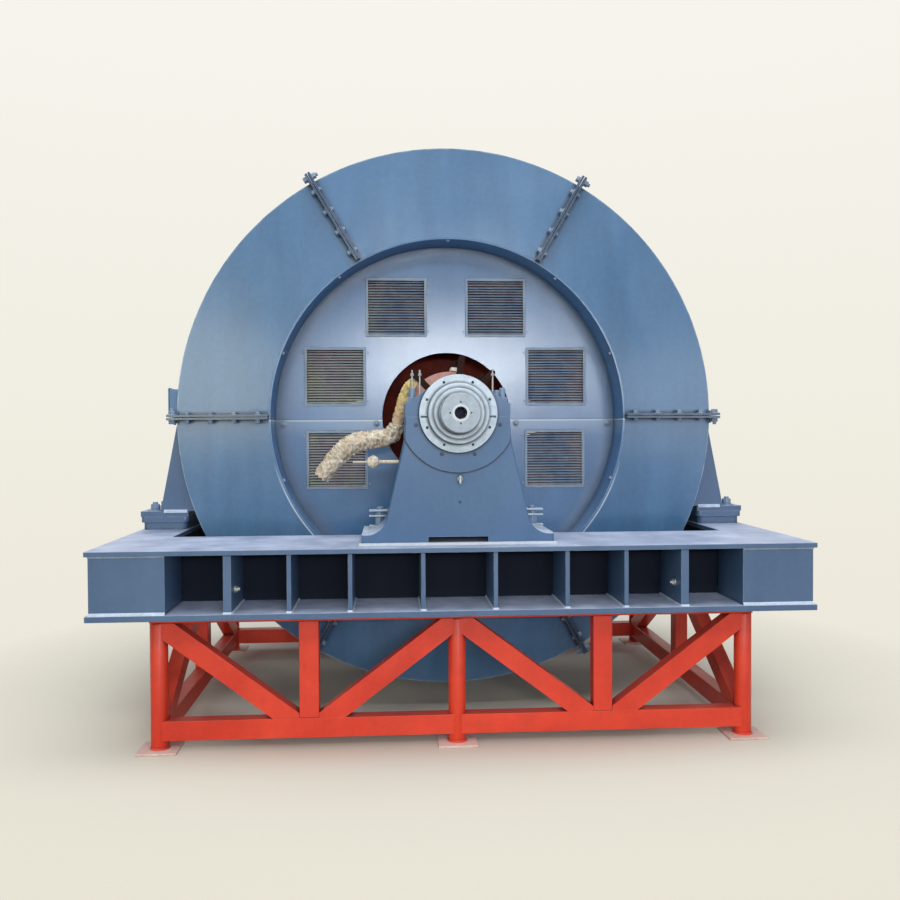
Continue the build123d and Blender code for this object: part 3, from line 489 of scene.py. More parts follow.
dull_plating = bare_metal("dull_plating", (0.30, 0.32, 0.32), 0.42, metallic=0.6)
stud_height = 0.834
stud_set_back = 0.10
stud_blocks = [
    (0.020, 0, 0.006, 20, 0.001),
    (0.0156, 0.006, 0.012, 6, 0.001),
    (0.009, 0.018, 0.008, 20, 0.002),
]
earth_studs = bmesh.new()
for side in (-1, 1):
    face = Vector((side * (rib_places[3] - rib_half_widths[3]), rib_low[1] + stud_set_back, stud_height))
    stacked(earth_studs, seat(face, (-side, 0, 0)), stud_blocks)
finished("bed_earth_studs", earth_studs, dull_plating)

# Stand. Square and round tube cut and welded into trusses, sprayed with orange-red enamel that
# carries dust and scuffs, with painted top light and edge highlights. Its foot plates got only a
# thin, chalky coat.
stand_red = enamel(
    "stand_red", (0.56, 0.027, 0.008), (0.66, 0.042, 0.012), (0.80, 0.16, 0.08), top_dust_and_light=0.18, edge_wear_and_highlight=0.35,
    rough=(0.36, 0.5), patch=0.35, mottle=0.07, streaks=0.06, dust_and_top_light_colour=(0.62, 0.30, 0.24),
)
dress(
    stand_red,
    "stand_posts", "stand_top_chords", "stand_side_top_chords", "stand_bottom_chords",
    "stand_side_chords", "stand_uprights", "stand_braces", "stand_side_braces",
    edge=0.005,
)
foot_paint = enamel(
    "foot_paint", (0.72, 0.47, 0.40), (0.84, 0.63, 0.55), (0.84, 0.68, 0.62), top_dust_and_light=0.7,
    rough=(0.5, 0.65), patch=0.12, mottle=0.15, dust_and_top_light_colour=(0.82, 0.66, 0.60),
)
dress(foot_paint, "stand_foot_plates", edge=0.0015)

post_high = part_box("stand_posts")[1]
plate_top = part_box("stand_foot_plates")[1][2]
post_radius = 0.0445
post_x = post_high[0] - post_radius
post_y = post_high[1] - mid_y - post_radius
stand_beads = bmesh.new()
for x in (-post_x, 0, post_x):
    for end in (-1, 1):
        bmesh.ops.create_cone(
            stand_beads,
            cap_ends=True,
            segments=40,
            radius1=post_radius + bead_leg,
            radius2=post_radius,
            depth=bead_leg,
            matrix=Matrix.Translation((x, mid_y + end * post_y, plate_top + bead_leg / 2)),
        )
finished("stand_weld_beads", stand_beads, stand_red)


# Stator housing. A rolled shell in two halves, bolted along the horizontal joint bars at both
# sides. The bolts and nuts were painted over with the shell.
def bolt(mesh, where, across, stud=0.0, head=0.65, washer=True):
    """A washer and a hexagon head or nut, in shares of its width, with its stud's end if it has one."""
    base = 0.0
    if washer:
        disc(mesh, where, across * 0.92, 0, across * 0.12, sides=24, ease=across * 0.02)
        base = across * 0.12
    disc(mesh, where, across * 0.577, base, across * head, sides=6, ease=across * 0.06)
    if stud:
        disc(mesh, where, across * 0.32, base + across * head, stud, sides=16, ease=across * 0.05)


def both_ends(distance):
    """The two ends of the machine: which way each faces, and y at that distance from the middle."""
    return [(end, mid_y + end * distance) for end in (-1, 1)]


shell_enamel = enamel("shell_enamel", blue, blue_other, blue_wear_and_highlight, patch=1.1, streaks=0.07)
dress(shell_enamel, "stator_housing", edge=0.002)

core_low, core_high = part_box("stator_core")
axis_height = (core_low[2] + core_high[2]) / 2
housing_low, housing_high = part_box("stator_housing")
rim_radius = (housing_high[2] - housing_low[2]) / 2
housing_half = (housing_high[1] - housing_low[1]) / 2
joint_bar_half = 0.0135
joint_bolt_x = rim_radius + 0.026
joint_bolt_y = housing_half - 0.060
joint_bolt_count = 8
joint_bolt_width = 0.024
joint_stud_end = 0.010
joint_bolts = bmesh.new()
for side in (-1, 1):
    for step in range(joint_bolt_count):
        y = mid_y - joint_bolt_y + step * 2 * joint_bolt_y / (joint_bolt_count - 1)
        for up in (-1, 1):
            where = seat(Vector((side * joint_bolt_x, y, axis_height + up * joint_bar_half)), (0, 0, up))
            bolt(joint_bolts, where, joint_bolt_width, stud=joint_stud_end if up < 0 else 0)
bolt_enamel = enamel(
    "bolt_enamel", (0.105, 0.18, 0.30), (0.16, 0.23, 0.33), (0.48, 0.52, 0.56), patch=0.05,
    mottle=0.15, edge_wear_and_highlight=0.9,
)
finished("housing_joint_bolts", joint_bolts, bolt_enamel)

# Housing box. A small sheet box on the housing's left side, with a flanged lid that four screws
# hold, and a cable gland below. Painted with the housing.
dress(shell_enamel, "housing_box", edge=0.002)
box_low, box_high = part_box("housing_box")
lid_thickness = 0.004
lid_overhang = 0.006
lid_corner = 0.014
lid_screw = (0.006, 0, 0.003, 16, 0.001)
gland_inset = 0.028
box_middle = Vector((box_low[0], (box_low[1] + box_high[1]) / 2, (box_low[2] + box_high[2]) / 2))
lid_width = box_high[1] - box_low[1] + 2 * lid_overhang
lid_height = box_high[2] - box_low[2] + 2 * lid_overhang
box_lid = bmesh.new()
bmesh.ops.create_cube(
    box_lid,
    size=1,
    matrix=Matrix.Translation(box_middle - Vector((lid_thickness / 2, 0, 0)))
    @ Matrix.Diagonal((lid_thickness, lid_width, lid_height, 1)),
)
corners = [edge for edge in box_lid.edges if edge.calc_length() < 2 * lid_thickness]
bmesh.ops.bevel(
    box_lid, geom=corners, offset=lid_corner, segments=4, profile=0.5, affect="EDGES", material=-1
)
for across in (-1, 1):
    for up in (-1, 1):
        corner = Vector((0, across * (lid_width / 2 - lid_corner), up * (lid_height / 2 - lid_corner)))
        place = box_middle + corner - Vector((lid_thickness, 0, 0))
        disc(box_lid, seat(place, (-1, 0, 0)), *lid_screw)
gland = seat(Vector((box_low[0] + gland_inset, box_middle.y, box_low[2])), (0, 0, -1))
disc(box_lid, gland, 0.015, 0, 0.012, sides=6, ease=0.001)
disc(box_lid, gland, 0.011, 0.012, 0.014, top_radius=0.008, ease=0.001)
finished("housing_box_lid", box_lid, shell_enamel)

# Air shields. Six flat-cone sheet segments close each end of the stator, bolted to each other
# along standing flanges, with a heavier bolt through the lug at the rim.
bore_radius = 1.027
flange_half = 0.0135


def outward_at(degrees):
    """The way out from the shaft's axis, at an angle as seen from the front."""
    return Vector((math.cos(math.radians(degrees)), 0, math.sin(math.radians(degrees))))


def round_shaft(radius, degrees, y):
    """A place on a circle round the shaft's axis."""
    return Vector((0, y, axis_height)) + outward_at(degrees) * radius


def shaft_distance(tree):
    """How far a point is from the shaft's axis."""
    parts = parts_of(tree, place_of(tree))
    high = worked(tree, "SUBTRACT", parts["Z"], axis_height)
    flat = wired(tree, "ShaderNodeCombineXYZ", {"X": parts["X"], "Y": high}).outputs[0]
    return wired(tree, "ShaderNodeVectorMath", {0: flat}, operation="LENGTH").outputs["Value"]


def flange_shade_and_rim_highlight(tree, colour):
    """Painted shade in the corners along the flanges, and a painted highlight round the inner rim's lower
    part.
    """
    flange_shade_tone = plain(0.018, 0.032, 0.062)
    rim_highlight_tone = plain(0.52, 0.58, 0.64)
    flange_shade_reach = 0.028
    parts = parts_of(tree, place_of(tree))
    high = worked(tree, "SUBTRACT", parts["Z"], axis_height)
    for degrees in (0, 60, 120):
        along = worked(tree, "MULTIPLY", parts["X"], math.sin(math.radians(degrees)))
        aside = worked(tree, "MULTIPLY", high, math.cos(math.radians(degrees)))
        distance = worked(tree, "ABSOLUTE", worked(tree, "SUBTRACT", along, aside))
        corner = ramp_of(tree, distance, flange_half, flange_half + flange_shade_reach, 0.72, 0.0)
        colour = blend_of(tree, corner, colour, flange_shade_tone)
    inner = ramp_of(tree, shaft_distance(tree), bore_radius + 0.006, bore_radius + 0.009, 0.85, 0.0)
    wear_and_highlight = worked(tree, "MULTIPLY", inner, ramp_of(tree, high, -0.25, -0.45))
    return blend_of(tree, wear_and_highlight, colour, rim_highlight_tone)


# The shields' enamel carries painted shade beside the flanges and a painted highlight low on the inner rim.
shield_enamel = enamel(
    "shield_enamel", blue, blue_other, blue_wear_and_highlight, rough=(0.20, 0.26), patch=0.9, mottle=0.06,
    streaks=0.08, tinted=flange_shade_and_rim_highlight,
)
dress(shield_enamel, "front_shield", "rear_shield", edge=0)
cone_rise = 0.096
flange_depth = 0.029
seam_radii = [1.085 + 0.137 * step for step in range(4)]
seam_head_width = 0.026
seam_nut_width = 0.020
lug_radius = rim_radius + 0.022
lug_bolt_width = 0.032
lug_stud_end = 0.014
seam_bolts = bmesh.new()
for end in (-1, 1):
    for degrees in range(0, 360, 60):
        outward = outward_at(degrees)
        across_seam = Vector((-outward.z, 0, outward.x))
        aside = across_seam * flange_half
        for radius in seam_radii:
            forward = cone_rise * (rim_radius - radius) / (rim_radius - bore_radius)
            place = round_shaft(radius, degrees, mid_y + end * (housing_half + forward + flange_depth))
            bolt(seam_bolts, seat(place + aside, across_seam), seam_head_width)
            bolt(seam_bolts, seat(place - aside, -across_seam), seam_nut_width, stud=0.003, head=0.5)
        place = round_shaft(lug_radius, degrees, mid_y + end * (housing_half + flange_depth))
        bolt(seam_bolts, seat(place + aside, across_seam), lug_bolt_width)
        bolt(seam_bolts, seat(place - aside, -across_seam), lug_bolt_width, stud=lug_stud_end)
finished("shield_seam_bolts", seam_bolts, bolt_enamel)

# End covers. A shallow pan of sheet steel in two halves, recessed in the air shield round the
# shaft. Its rim is held by small screws, and so is the joint of its halves.
split_below_axis = 0.016


def split_highlight(tree, colour):
    """The lower half stands a little proud; under and along its top edge it is painted pale as a highlight.
    """
    broad_highlight_tone = plain(0.26, 0.36, 0.48)
    thin_highlight_tone = plain(0.50, 0.57, 0.64)
    height = parts_of(tree, place_of(tree))["Z"]
    split = axis_height - split_below_axis
    below = worked(tree, "LESS_THAN", height, split)
    broad = worked(tree, "MULTIPLY", below, ramp_of(tree, height, split - 0.10, split, 0.0, 0.45))
    colour = blend_of(tree, broad, colour, broad_highlight_tone)
    thin = worked(tree, "MULTIPLY", below, ramp_of(tree, height, split - 0.008, split - 0.006, 0.0, 0.8))
    return blend_of(tree, thin, colour, thin_highlight_tone)


# The covers' enamel is painted darker as shade towards the recess walls, and pale as a highlight along the
# joint.
cover_enamel = enamel(
    "cover_enamel", (0.060, 0.148, 0.300), (0.086, 0.176, 0.324), blue_wear_and_highlight, rough=(0.17, 0.22),
    patch=0.9, streaks=0.06, crevice_shade=0.9, crevice_shade_reach=0.15, edge_wear_and_highlight=0.3, tinted=split_highlight,
)
dress(
    cover_enamel, "front_cover_upper", "front_cover_lower", "rear_cover_upper", "rear_cover_lower",
    edge=0.0015,
)
pan_half_rim = mid_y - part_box("front_cover_upper")[0][1]
pan_radius = bore_radius - 0.0125
pan_half_plate = 0.271
rim_screw_set_back = 0.018
rim_screw_width = 0.017
rim_screw_angles = [21, 52, 90, 128, 159, 201, 232, 270, 308, 339]
split_screw_places = (0.42, 0.97)
split_screw_drop = 0.022
split_screw_width = 0.020
cover_screws = bmesh.new()
for end, y in both_ends(pan_half_rim - rim_screw_set_back):
    for degrees in rim_screw_angles:
        where = seat(round_shaft(pan_radius, degrees, y), -outward_at(degrees))
        bolt(cover_screws, where, rim_screw_width, washer=False)
for end, y in both_ends(pan_half_plate):
    for x in split_screw_places:
        for side in (-1, 1):
            place = Vector((side * x, y, axis_height - split_below_axis - split_screw_drop))
            bolt(cover_screws, seat(place, (0, end, 0)), split_screw_width)
finished("cover_screws", cover_screws, bolt_enamel)


# Louvres. Pressed panels of slanting blades in the covers' six windows, through which the rotor
# drives the air. Their enamel is thinner, with olive and pinkish tints on the blades.
def blade_tints(tree, colour):
    """Olive and pinkish stains, each over its own patch of blades, and plain enamel on the frames."""
    olive_tone = plain(0.44, 0.44, 0.28)
    pink_tone = plain(0.40, 0.30, 0.31)
    frame_tone = plain(0.15, 0.22, 0.32)
    where = place_of(tree)
    facing = wired(tree, "ShaderNodeNewGeometry").outputs["Normal"]
    frontal = worked(tree, "ABSOLUTE", parts_of(tree, facing)["Y"])
    stain = noise_of(tree, where, 3.2, 3.0)
    leftward = ramp_of(tree, parts_of(tree, where)["X"], -0.35, -0.6)
    olive = worked(tree, "MULTIPLY", ramp_of(tree, stain, 0.36, 0.60, 0.2, 0.9), leftward)
    pink = ramp_of(tree, stain, 0.50, 0.38, 0.0, 0.55)
    colour = blend_of(tree, olive, colour, olive_tone)
    colour = blend_of(tree, pink, colour, pink_tone)
    return blend_of(tree, ramp_of(tree, frontal, 0.96, 0.99), colour, frame_tone)


# The blades are painted darker as shade in the narrow gaps between them, and pale as highlights on their
# edges.
louvre_enamel = enamel(
    "louvre_enamel", (0.100, 0.175, 0.300), (0.145, 0.225, 0.370), (0.72, 0.74, 0.70), edge_wear_and_highlight=0.95, top_dust_and_light=0.5,
    rough=(0.38, 0.52), patch=0.25, mottle=0.1, dust_and_top_light_colour=(0.34, 0.37, 0.38), tinted=blade_tints,
    crevice_shade=1.0, crevice_shade_reach=0.016, edge_wear_and_highlight_width=0.003,
)
dress(louvre_enamel, "front_louvres", "rear_louvres", edge=0)
window_places = [(0.307, 65.6), (0.321, 20.1), (0.325, -21.1)]
window_half = (0.181, 0.1735)
screw_aside = window_half[0] + 0.012
screw_up = window_half[1] - 0.03
louvre_screw = (0.0055, 0, 0.003, 12, 0.001)
louvre_screws = bmesh.new()
for end, y in both_ends(pan_half_plate):
    for inset, degrees in window_places:
        middle = round_shaft(bore_radius - inset, degrees, y)
        for side in (-1, 1):
            for across in (-1, 1):
                for up in (-1, 1):
                    place = (side * middle.x + across * screw_aside, y, middle.z + up * screw_up)
                    disc(louvre_screws, seat(Vector(place), (0, end, 0)), *louvre_screw)
finished("louvre_screws", louvre_screws, bolt_enamel)

# Stator feet and their pads. The feet are welded brackets on machined pads, held down by heavy
# studs with hexagon nuts on round washers. A weld runs along the foot of each bracket's end plate.
dress(bed_enamel, "foot_pads", "stator_feet")
foot_low, foot_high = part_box("stator_feet")
foot_plate_thickness = 0.032
foot_plate_top = foot_low[2] + foot_plate_thickness
foot_stud_x = 1.731
foot_stud_pitch = 0.24
foot_stud_end = 0.012
nut_width = 0.046
nut_height = 0.72
foot_weld = 0.009
foot_weld_span = (1.53, 1.665)
foot_bolts = bmesh.new()
foot_beads = bmesh.new()
for side in (-1, 1):
    for step in (-1, 0, 1):
        place = Vector((side * foot_stud_x, mid_y + step * foot_stud_pitch, foot_plate_top))
        bolt(foot_bolts, seat(place, (0, 0, 1)), nut_width, stud=foot_stud_end, head=nut_height)
    for end, y in ((-1, foot_low[1]), (1, foot_high[1])):
        start, stop = ((side * x, y, foot_plate_top - foot_weld) for x in foot_weld_span)
        weld_bead(foot_beads, start, stop, (0, end * foot_weld, 0), (0, 0, 2 * foot_weld))
finished("foot_bolts", foot_bolts, bolt_enamel)
# The brackets' welds take the same pale tone, a painted highlight.
finished("foot_weld_beads", foot_beads, weld_highlight_enamel)

# Pedestals and caps. Heavy castings, filled, rubbed down and enamelled, with small screws round
# their bosses that are painted near-black as the shade of their holes. Their tops and toes carry dust
# and a painted top light. Nuts on studs hold the caps, guide rods stand beside them, the foot's studs
# carry pale bars between their nuts, and a plated oil fitting sits below each boss.
# Old oil together with painted shade, as dark bands at the foot of steps round the shaft.
oil_and_shade_tone = plain(0.012, 0.018, 0.030)


def oil_and_shade_bands(tree, colour, bands, share=0.95):
    """Old oil and painted shade between pairs of distances from the shaft's axis, fading outwards."""
    radius = shaft_distance(tree)
    for inner, outer in bands:
        fading = ramp_of(tree, radius, inner, outer, share, 0.0)
        band = worked(tree, "MULTIPLY", worked(tree, "GREATER_THAN", radius, inner), fading)
        colour = blend_of(tree, band, colour, oil_and_shade_tone)
    return colour


ring_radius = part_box("front_seal_ring")[1][0]
boss_radius = 0.292
seam_oil_and_shade = [(ring_radius, ring_radius + 0.010), (boss_radius - 0.001, boss_radius + 0.009)]


def boss_oil_and_shade(tree, colour):
    """Old oil and painted shade round the seal ring's seat and in the corner round the boss."""
    return oil_and_shade_bands(tree, colour, seam_oil_and_shade)


cast_enamel = enamel(
    "cast_enamel", (0.045, 0.108, 0.226), (0.060, 0.128, 0.245), (0.46, 0.56, 0.66), top_dust_and_light=0.95,
    edge_wear_and_highlight=0.45, shine=0.35, rough=(0.34, 0.46), patch=0.45, waves=1.4,
    dust_and_top_light_colour=(0.60, 0.68, 0.78), tinted=boss_oil_and_shade,
)
dress(cast_enamel, "front_pedestal", "rear_pedestal", "front_cap", "rear_cap")
boss_half = mid_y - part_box("front_pedestal")[0][1]
body_half = boss_half - 0.015
boss_screw_radius = 0.217
boss_screw_angles = (-15, -68, -112, -165)
boss_screw = (0.009, 0, 0.003, 16, 0.001)
body_screw = (0.006, 0, 0.003, 12, 0.001)
body_screw_x = 0.009
body_screw_drop = 0.440
boss_screws = bmesh.new()
for end, y in both_ends(boss_half):
    for degrees in boss_screw_angles:
        disc(boss_screws, seat(round_shaft(boss_screw_radius, degrees, y), (0, end, 0)), *boss_screw)
for end, y in both_ends(body_half):
    place = Vector((body_screw_x, y, axis_height - body_screw_drop))
    disc(boss_screws, seat(place, (0, end, 0)), *body_screw)
# Near-black screws: painted shade for the holes they sit in.
dark_screw = bare_metal("dark_screw", (0.03, 0.035, 0.045), 0.5, metallic=0.5)
finished("boss_screws", boss_screws, dark_screw)

cap_flange_top = axis_height + 0.045
cap_stud_distances = (1.18, 0.94)
cap_stud_x = 0.226
cap_stud_end = 0.045
cap_nuts = bmesh.new()
for distance in cap_stud_distances:
    for end, y in both_ends(distance):
        for side in (-1, 1):
            where = seat(Vector((side * cap_stud_x, y, cap_flange_top)), (0, 0, 1))
            bolt(cap_nuts, where, nut_width, stud=cap_stud_end, head=nut_height)
finished("cap_nuts", cap_nuts, bolt_enamel)

rod_distance = 0.865
rod_places = (-0.2185, -0.178, 0.2125)
rod_blocks = [(0.0055, 0, 0.196, 20, 0.002), (0.010, 0.164, 0.014, 6, 0.001)]
guide_rods = bmesh.new()
for end, y in both_ends(rod_distance):
    for x in rod_places:
        stacked(guide_rods, seat(Vector((x, y, cap_flange_top)), (0, 0, 1)), rod_blocks)
finished("cap_guide_rods", guide_rods, dull_plating)


def slab(mesh, where, length, width, base, height, ease):
    """A flat bar on its seat, with its edges eased."""
    middle = where @ Matrix.Translation((0, 0, base + height / 2))
    made = bmesh.ops.create_cube(mesh, size=1, matrix=middle @ Matrix.Diagonal((length, width, height, 1)))
    sides = list({edge for vert in made["verts"] for edge in vert.link_edges})
    bmesh.ops.bevel(mesh, geom=sides, offset=ease, segments=2, profile=0.5, affect="EDGES", material=-1)


base_thickness = 0.042
base_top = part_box("pedestal_shims")[1][2] + base_thickness
clamp_distance = 0.815
clamp_places = (-0.394, 0.430)
bar_bases = (0, 0.055, 0.083)
bar_length = 0.116
bar_width = 0.060
bar_thickness = 0.009
nut_blocks = [
    (0.028, 0.009, 0.046, 6, 0.003),
    (0.028, 0.064, 0.019, 6, 0.003),
    (0.018, 0.092, 0.014, 20, 0.003),
]
clamp_bars = bmesh.new()
clamp_nuts = bmesh.new()
for end, y in both_ends(clamp_distance):
    for x in clamp_places:
        where = Matrix.Translation((x, y, base_top))
        for base in bar_bases:
            slab(clamp_bars, where, bar_length, bar_width, base, bar_thickness, 0.002)
        stacked(clamp_nuts, where, nut_blocks)
pale_enamel = enamel(
    "pale_enamel", (0.30, 0.38, 0.46), (0.40, 0.47, 0.54), (0.66, 0.70, 0.74), patch=0.04,
    mottle=0.15, top_dust_and_light=0.6,
)
finished("pedestal_clamp_bars", clamp_bars, pale_enamel)
finished("pedestal_clamp_nuts", clamp_nuts, bolt_enamel)

fitting_drop = 0.325
elbow_blocks = [(0.015, 0, 0.006, 6, 0.001), (0.007, 0.006, 0.016, 16, 0.0)]
cup_blocks = [(0.008, 0, 0.028, 20, 0.002), (0.010, 0.028, 0.013, 20, 0.004)]
cup_out = 0.024
cup_down = 0.022
oil_fittings = bmesh.new()
for end, y in both_ends(body_half):
    place = Vector((body_screw_x, y, axis_height - fitting_drop))
    stacked(oil_fittings, seat(place, (0, end, 0)), elbow_blocks)
    stacked(oil_fittings, seat(place + Vector((0, end * cup_out, -cup_down)), (0, 0, 1)), cup_blocks)
finished("oil_fittings", oil_fittings, dull_plating)

# Seal rings and labyrinths. Turned rings in halves round the shaft, thinly sprayed with a paler
# blue-grey, so the lathe's marks still show. Round-headed screws sit in the seal rings' holes, painted
# near-black as the holes' shade.
step_radii = (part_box("front_labyrinth")[1][0], 0.124, 0.100)
step_oil_and_shade = [(radius + 0.0004, radius + 0.018) for radius in step_radii]


def lathe_marks(tree, colour):
    """Fine rings round the shaft in the paint's tone, and old oil with painted shade at the foot of each
    step.
    """
    mark_tone = plain(0.16, 0.22, 0.29)
    values = {"W": shaft_distance(tree), "Scale": 900.0, "Detail": 3.0}
    ripples = wired(tree, "ShaderNodeTexNoise", values, noise_dimensions="1D").outputs["Fac"]
    marks = ramp_of(tree, ripples, 0.3, 0.7, 0.0, 0.35)
    return oil_and_shade_bands(tree, blend_of(tree, marks, colour, mark_tone), step_oil_and_shade)


ring_enamel = enamel(
    "ring_enamel", (0.38, 0.48, 0.57), (0.49, 0.58, 0.66), (0.66, 0.72, 0.76), edge_wear_and_highlight=0.8,
    patch=0.05, mottle=0.2, tinted=lathe_marks, crevice_shade_reach=0.02,
)
dress(
    ring_enamel,
    "front_seal_ring", "rear_seal_ring", "front_labyrinth", "rear_labyrinth", "front_bush", "rear_bush",
    edge=0.0015,
)
shim_steel = bare_metal("shim_steel", (0.42, 0.46, 0.52), 0.45, metallic=0.3, stain=(0.25, 0.30, 0.38))
dress(shim_steel, "pedestal_shims", edge=0.001)
ring_depth = 0.030
ring_screw_sunk = 0.014
ring_screw_radius = 0.169
ring_screw_angles = (24, 65, 115, 156, 204, 245, 295, 336)
ring_screw = (0.0062, 0, 0.008, 16, 0.001)
ring_screws = bmesh.new()
for end, y in both_ends(boss_half + ring_depth - ring_screw_sunk):
    for degrees in ring_screw_angles:
        disc(ring_screws, seat(round_shaft(ring_screw_radius, degrees, y), (0, end, 0)), *ring_screw)
finished("ring_screws", ring_screws, dark_screw)


# Shaft. One turned steel forging, bored from its free end, under a film of pale preservative. The
# lip of the bore is painted pale as a highlight, and the bore near-black as its shade.
bore_radius_end = 0.0302
bore_lip_radius = 0.0415


def bored_out(tree):
    """Where the bore is: painted near-black there as its shade."""
    return worked(tree, "LESS_THAN", shaft_distance(tree), bore_radius_end)


def bore_shade_and_lip_highlight(tree, colour):
    """A painted highlight round the bore, turning marks over the end face, and painted shade in the bore."""
    lip_highlight_tone = plain(0.60, 0.66, 0.70)
    bore_shade_tone = plain(0.004, 0.004, 0.006)
    lip = worked(tree, "LESS_THAN", shaft_distance(tree), bore_lip_radius)
    lit = blend_of(tree, worked(tree, "MULTIPLY", lip, 0.55), lathe_marks(tree, colour), lip_highlight_tone)
    return blend_of(tree, bored_out(tree), lit, bore_shade_tone)


shaft_steel = enamel(
    "shaft_steel", (0.21, 0.27, 0.33), (0.28, 0.34, 0.40), (0.66, 0.70, 0.74), top_dust_and_light=0.2, edge_wear_and_highlight=0.8,
    rough=(0.28, 0.40), patch=0.06, mottle=0.2, tinted=bore_shade_and_lip_highlight, crevice_shade_reach=0.012, bare=bored_out,
)
dress(shaft_steel, "shaft", edge=0.0015)

# Rotor, core and windings. Steel and taped coils dipped in dark red-brown insulating varnish,
# which is all that shows of them past the covers' central opening.
varnish = enamel(
    "varnish", (0.075, 0.010, 0.006), (0.130, 0.020, 0.012), (0.20, 0.06, 0.04), top_dust_and_light=0.1, edge_wear_and_highlight=0.3,
    rough=(0.5, 0.65), patch=0.15, mottle=0.2, dust_and_top_light_colour=(0.16, 0.07, 0.05), shine=0.05,
)
dress(varnish, "rotor_spider", "rotor_poles", "stator_core")
dress(varnish, "stator_winding", edge=0)

# Slip rings. Steel rings on an insulated hub, coated with a pink insulating enamel between their
# running faces.
slip_enamel = enamel(
    "slip_enamel", (0.32, 0.120, 0.095), (0.42, 0.19, 0.15), (0.66, 0.40, 0.34), rough=(0.35, 0.48),
    patch=0.06, mottle=0.2, edge_wear_and_highlight=0.3,
)
dress(slip_enamel, "slip_rings", edge=0.002)

# Brush gear. Varnished steel arms on the cap's back carry moulded brush boxes over the rings. The
# two boxes on the near side have pale fronts, and the rest has gone dark with carbon dust.
box_start_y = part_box("slip_rings")[0][1] - 0.012
pale_front_radius = 0.279
pale_front_x = 0.11


def arms_and_boxes(tree, colour):
    """Dark varnish on the arms and rods, and the moulding's own tone on the lower part of two boxes."""
    varnish_tone = plain(0.022, 0.009, 0.007)
    parts = parts_of(tree, place_of(tree))
    pale = worked(tree, "LESS_THAN", shaft_distance(tree), pale_front_radius)
    pale = worked(tree, "MULTIPLY", pale, worked(tree, "LESS_THAN", parts["X"], pale_front_x))
    pale = worked(tree, "MULTIPLY", pale, worked(tree, "GREATER_THAN", parts["Y"], box_start_y))
    return blend_of(tree, pale, varnish_tone, colour)


brush_body = enamel(
    "brush_body", (0.60, 0.54, 0.46), (0.72, 0.67, 0.60), (0.10, 0.05, 0.04), rough=(0.45, 0.6), patch=0.04,
    mottle=0.15, top_dust_and_light=0.1, edge_wear_and_highlight=0.1, dust_and_top_light_colour=(0.10, 0.06, 0.05), tinted=arms_and_boxes, shine=0.04,
)
dress(brush_body, "brush_gear", edge=0.0015)


# Lead sleeve. The brush gear's leads leave in a padded cloth sleeve that bends over the pedestal's
# shoulder. It is yellow above and faded to a pinkish cream below, creased, and bound with cord.
def soft_tube(name, route, thickness, shares):
    """A round tube along a smooth line, with its share of the thickness given at each point."""
    line = bpy.data.curves.new(name, "CURVE")
    line.dimensions = "3D"
    line.bevel_depth = thickness
    line.bevel_resolution = 18
    line.use_fill_caps = thickness > 0
    spline = line.splines.new("NURBS")
    spline.points.add(len(route) - 1)
    for point, place, share in zip(spline.points, route, shares):
        point.co = (*place, 1)
        point.radius = share
    spline.order_u = 3
    spline.use_endpoint_u = True
    spline.resolution_u = 36
    holder = bpy.data.objects.new(name, line)
    made = bpy.data.meshes.new_from_object(holder)
    bpy.data.objects.remove(holder)
    return made


def crumpled(data, depth, fineness):
    """Pushes a tube's skin in and out in sharp creases, and returns it as a bmesh."""
    mesh = bmesh.new()
    mesh.from_mesh(data)
    bmesh.ops.remove_doubles(mesh, verts=mesh.verts, dist=0.0002)
    bmesh.ops.recalc_face_normals(mesh, faces=mesh.faces)
    mesh.normal_update()
    for vert in mesh.verts:
        crease = 1 - 3 * abs(noise.noise(vert.co * fineness))
        small = noise.noise(vert.co * fineness * 3.3)
        vert.co += vert.normal * depth * (0.65 * crease + 0.5 * small)
    return mesh


def bound(mesh, route, share, radius, cord=0.0028):
    """Two turns of cord round a lead, at a share of its length."""
    line = soft_tube("line", route, 0, [1] * len(route))
    points = [vert.co.copy() for vert in line.vertices]
    index = min(int(share * (len(points) - 1)), len(points) - 2)
    tangent = (points[index + 1] - points[index]).normalized()
    for shift in (-1.5, 1.5):
        where = seat(points[index] + tangent * cord * shift, tangent)
        upright = Matrix.Translation((radius, 0, 0)) @ Matrix.Rotation(math.radians(90), 4, "X")
        section = bmesh.ops.create_circle(mesh, segments=8, radius=cord, matrix=where @ upright)["verts"]
        ring = section + list({edge for vert in section for edge in vert.link_edges})
        bmesh.ops.spin(
            mesh, geom=ring, cent=where.translation, axis=tangent, angle=math.tau, steps=32, use_merge=True
        )


def wrapping(name, first, second, third, rough, crinkle, tinted=None):
    """Thin cloth or film, blotched in three tones, with fine crinkles and painted shade in its creases."""
    shade_tone = plain(0.16, 0.12, 0.09)
    material, tree = started(name)
    where = place_of(tree)
    broad = noise_of(tree, where, 17.0, 4.0, 0.7)
    small = noise_of(tree, where, 60.0, 4.0, 0.7)
    tone = blend_of(tree, ramp_of(tree, broad, 0.42, 0.60), plain(*first), plain(*second))
    tone = blend_of(tree, ramp_of(tree, small, 0.50, 0.66, 0.0, 0.8), tone, plain(*third))
    tone = tinted(tree, tone) if tinted else tone
    shaded = grouped(tree, painted_crevice_shade, {"Amount": 0.75, "Reach": 0.02})["Mask"]
    tone = blend_of(tree, shaded, tone, shade_tone)
    cells = wired(tree, "ShaderNodeTexVoronoi", {"Vector": where, "Scale": 75.0}, feature="DISTANCE_TO_EDGE")
    creased = bumped(tree, worked(tree, "ADD", cells.outputs["Distance"], small), crinkle, 0.006)
    gloss = ramp_of(tree, broad, 0.35, 0.65, *rough)
    surfaced(tree, {"Base Color": tone, "Roughness": gloss, "Normal": creased})
    return material


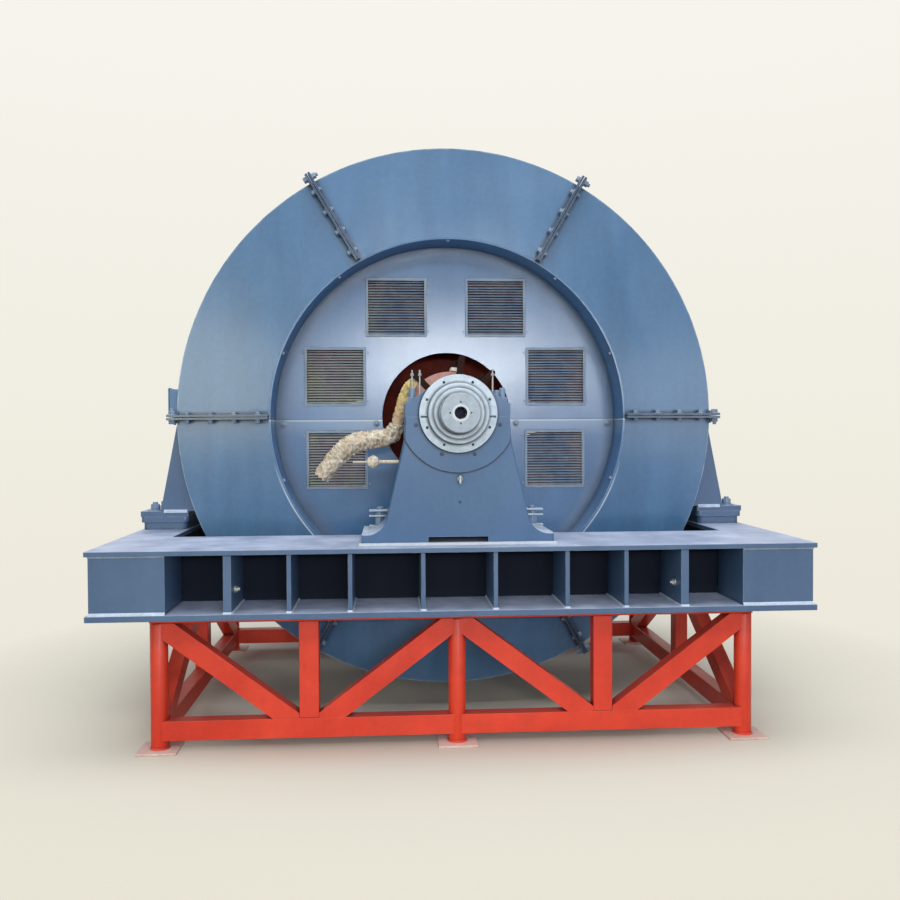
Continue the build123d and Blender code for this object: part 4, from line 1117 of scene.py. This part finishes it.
def wrapped_lead(name, route, thickness, shares, creases, ties, wrap):
    """A lead in its crumpled wrapping, from its creases' depth and fineness and its ties' places."""
    mesh = crumpled(soft_tube(name, route, thickness, shares), *creases)
    for share, radius in ties:
        bound(mesh, route, share, radius)
    return finished(name, mesh, wrap, bend=60)


fade_heights = (1.80, 1.68)
faded_tone = plain(0.66, 0.48, 0.35)


def faded_below(tree, colour):
    """The cloth's lower part, faded to a pinkish cream."""
    height = parts_of(tree, place_of(tree))["Z"]
    return blend_of(tree, ramp_of(tree, height, *fade_heights, 0.0, 0.75), colour, faded_tone)


yellow_cloth = wrapping(
    "yellow_cloth", (0.56, 0.40, 0.12), (0.74, 0.58, 0.27), (0.88, 0.76, 0.48), (0.6, 0.8), 0.7,
    tinted=faded_below,
)
sleeve_route = [
    (-0.216, -0.982, 1.863),
    (-0.224, -0.935, 1.862),
    (-0.262, -0.897, 1.785),
    (-0.304, -0.883, 1.636),
]
sleeve_thickness = 0.032
sleeve_shares = [0.82, 0.95, 1.10, 0.90]
sleeve_creases = (0.006, 30)
sleeve_ties = [(0.52, 0.034), (0.90, 0.033)]
sleeve_cloth = wrapped_lead(
    "lead_sleeve_cloth", sleeve_route, sleeve_thickness, sleeve_shares, sleeve_creases, sleeve_ties,
    yellow_cloth,
)
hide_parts("lead_sleeve")

# Lead bundle. Past the sleeve the leads go on in a bundle wound in thin cream film, crumpled and
# bound with cord, to a free end in front of the lower left louvre.
cream_film = wrapping(
    "cream_film", (0.48, 0.37, 0.25), (0.68, 0.60, 0.47), (0.86, 0.83, 0.76), (0.25, 0.5), 1.0
)
bundle_route = [
    (-0.303, -0.882, 1.648),
    (-0.314, -0.877, 1.582),
    (-0.430, -0.869, 1.566),
    (-0.552, -0.856, 1.546),
    (-0.642, -0.845, 1.458),
    (-0.718, -0.834, 1.362),
]
bundle_thickness = 0.045
bundle_shares = [0.80, 0.92, 1.0, 1.12, 1.10, 0.85]
bundle_creases = (0.013, 36)
bundle_ties = [(0.36, 0.046), (0.78, 0.050)]
bundle_film = wrapped_lead(
    "lead_bundle_film", bundle_route, bundle_thickness, bundle_shares, bundle_creases, bundle_ties,
    cream_film,
)
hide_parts("lead_bundle")

# Thermometer. A stem screwed into the pedestal's side, its head and capillary taped up in the same
# cream film.
dress(cream_film, "bearing_thermometer", edge=0)
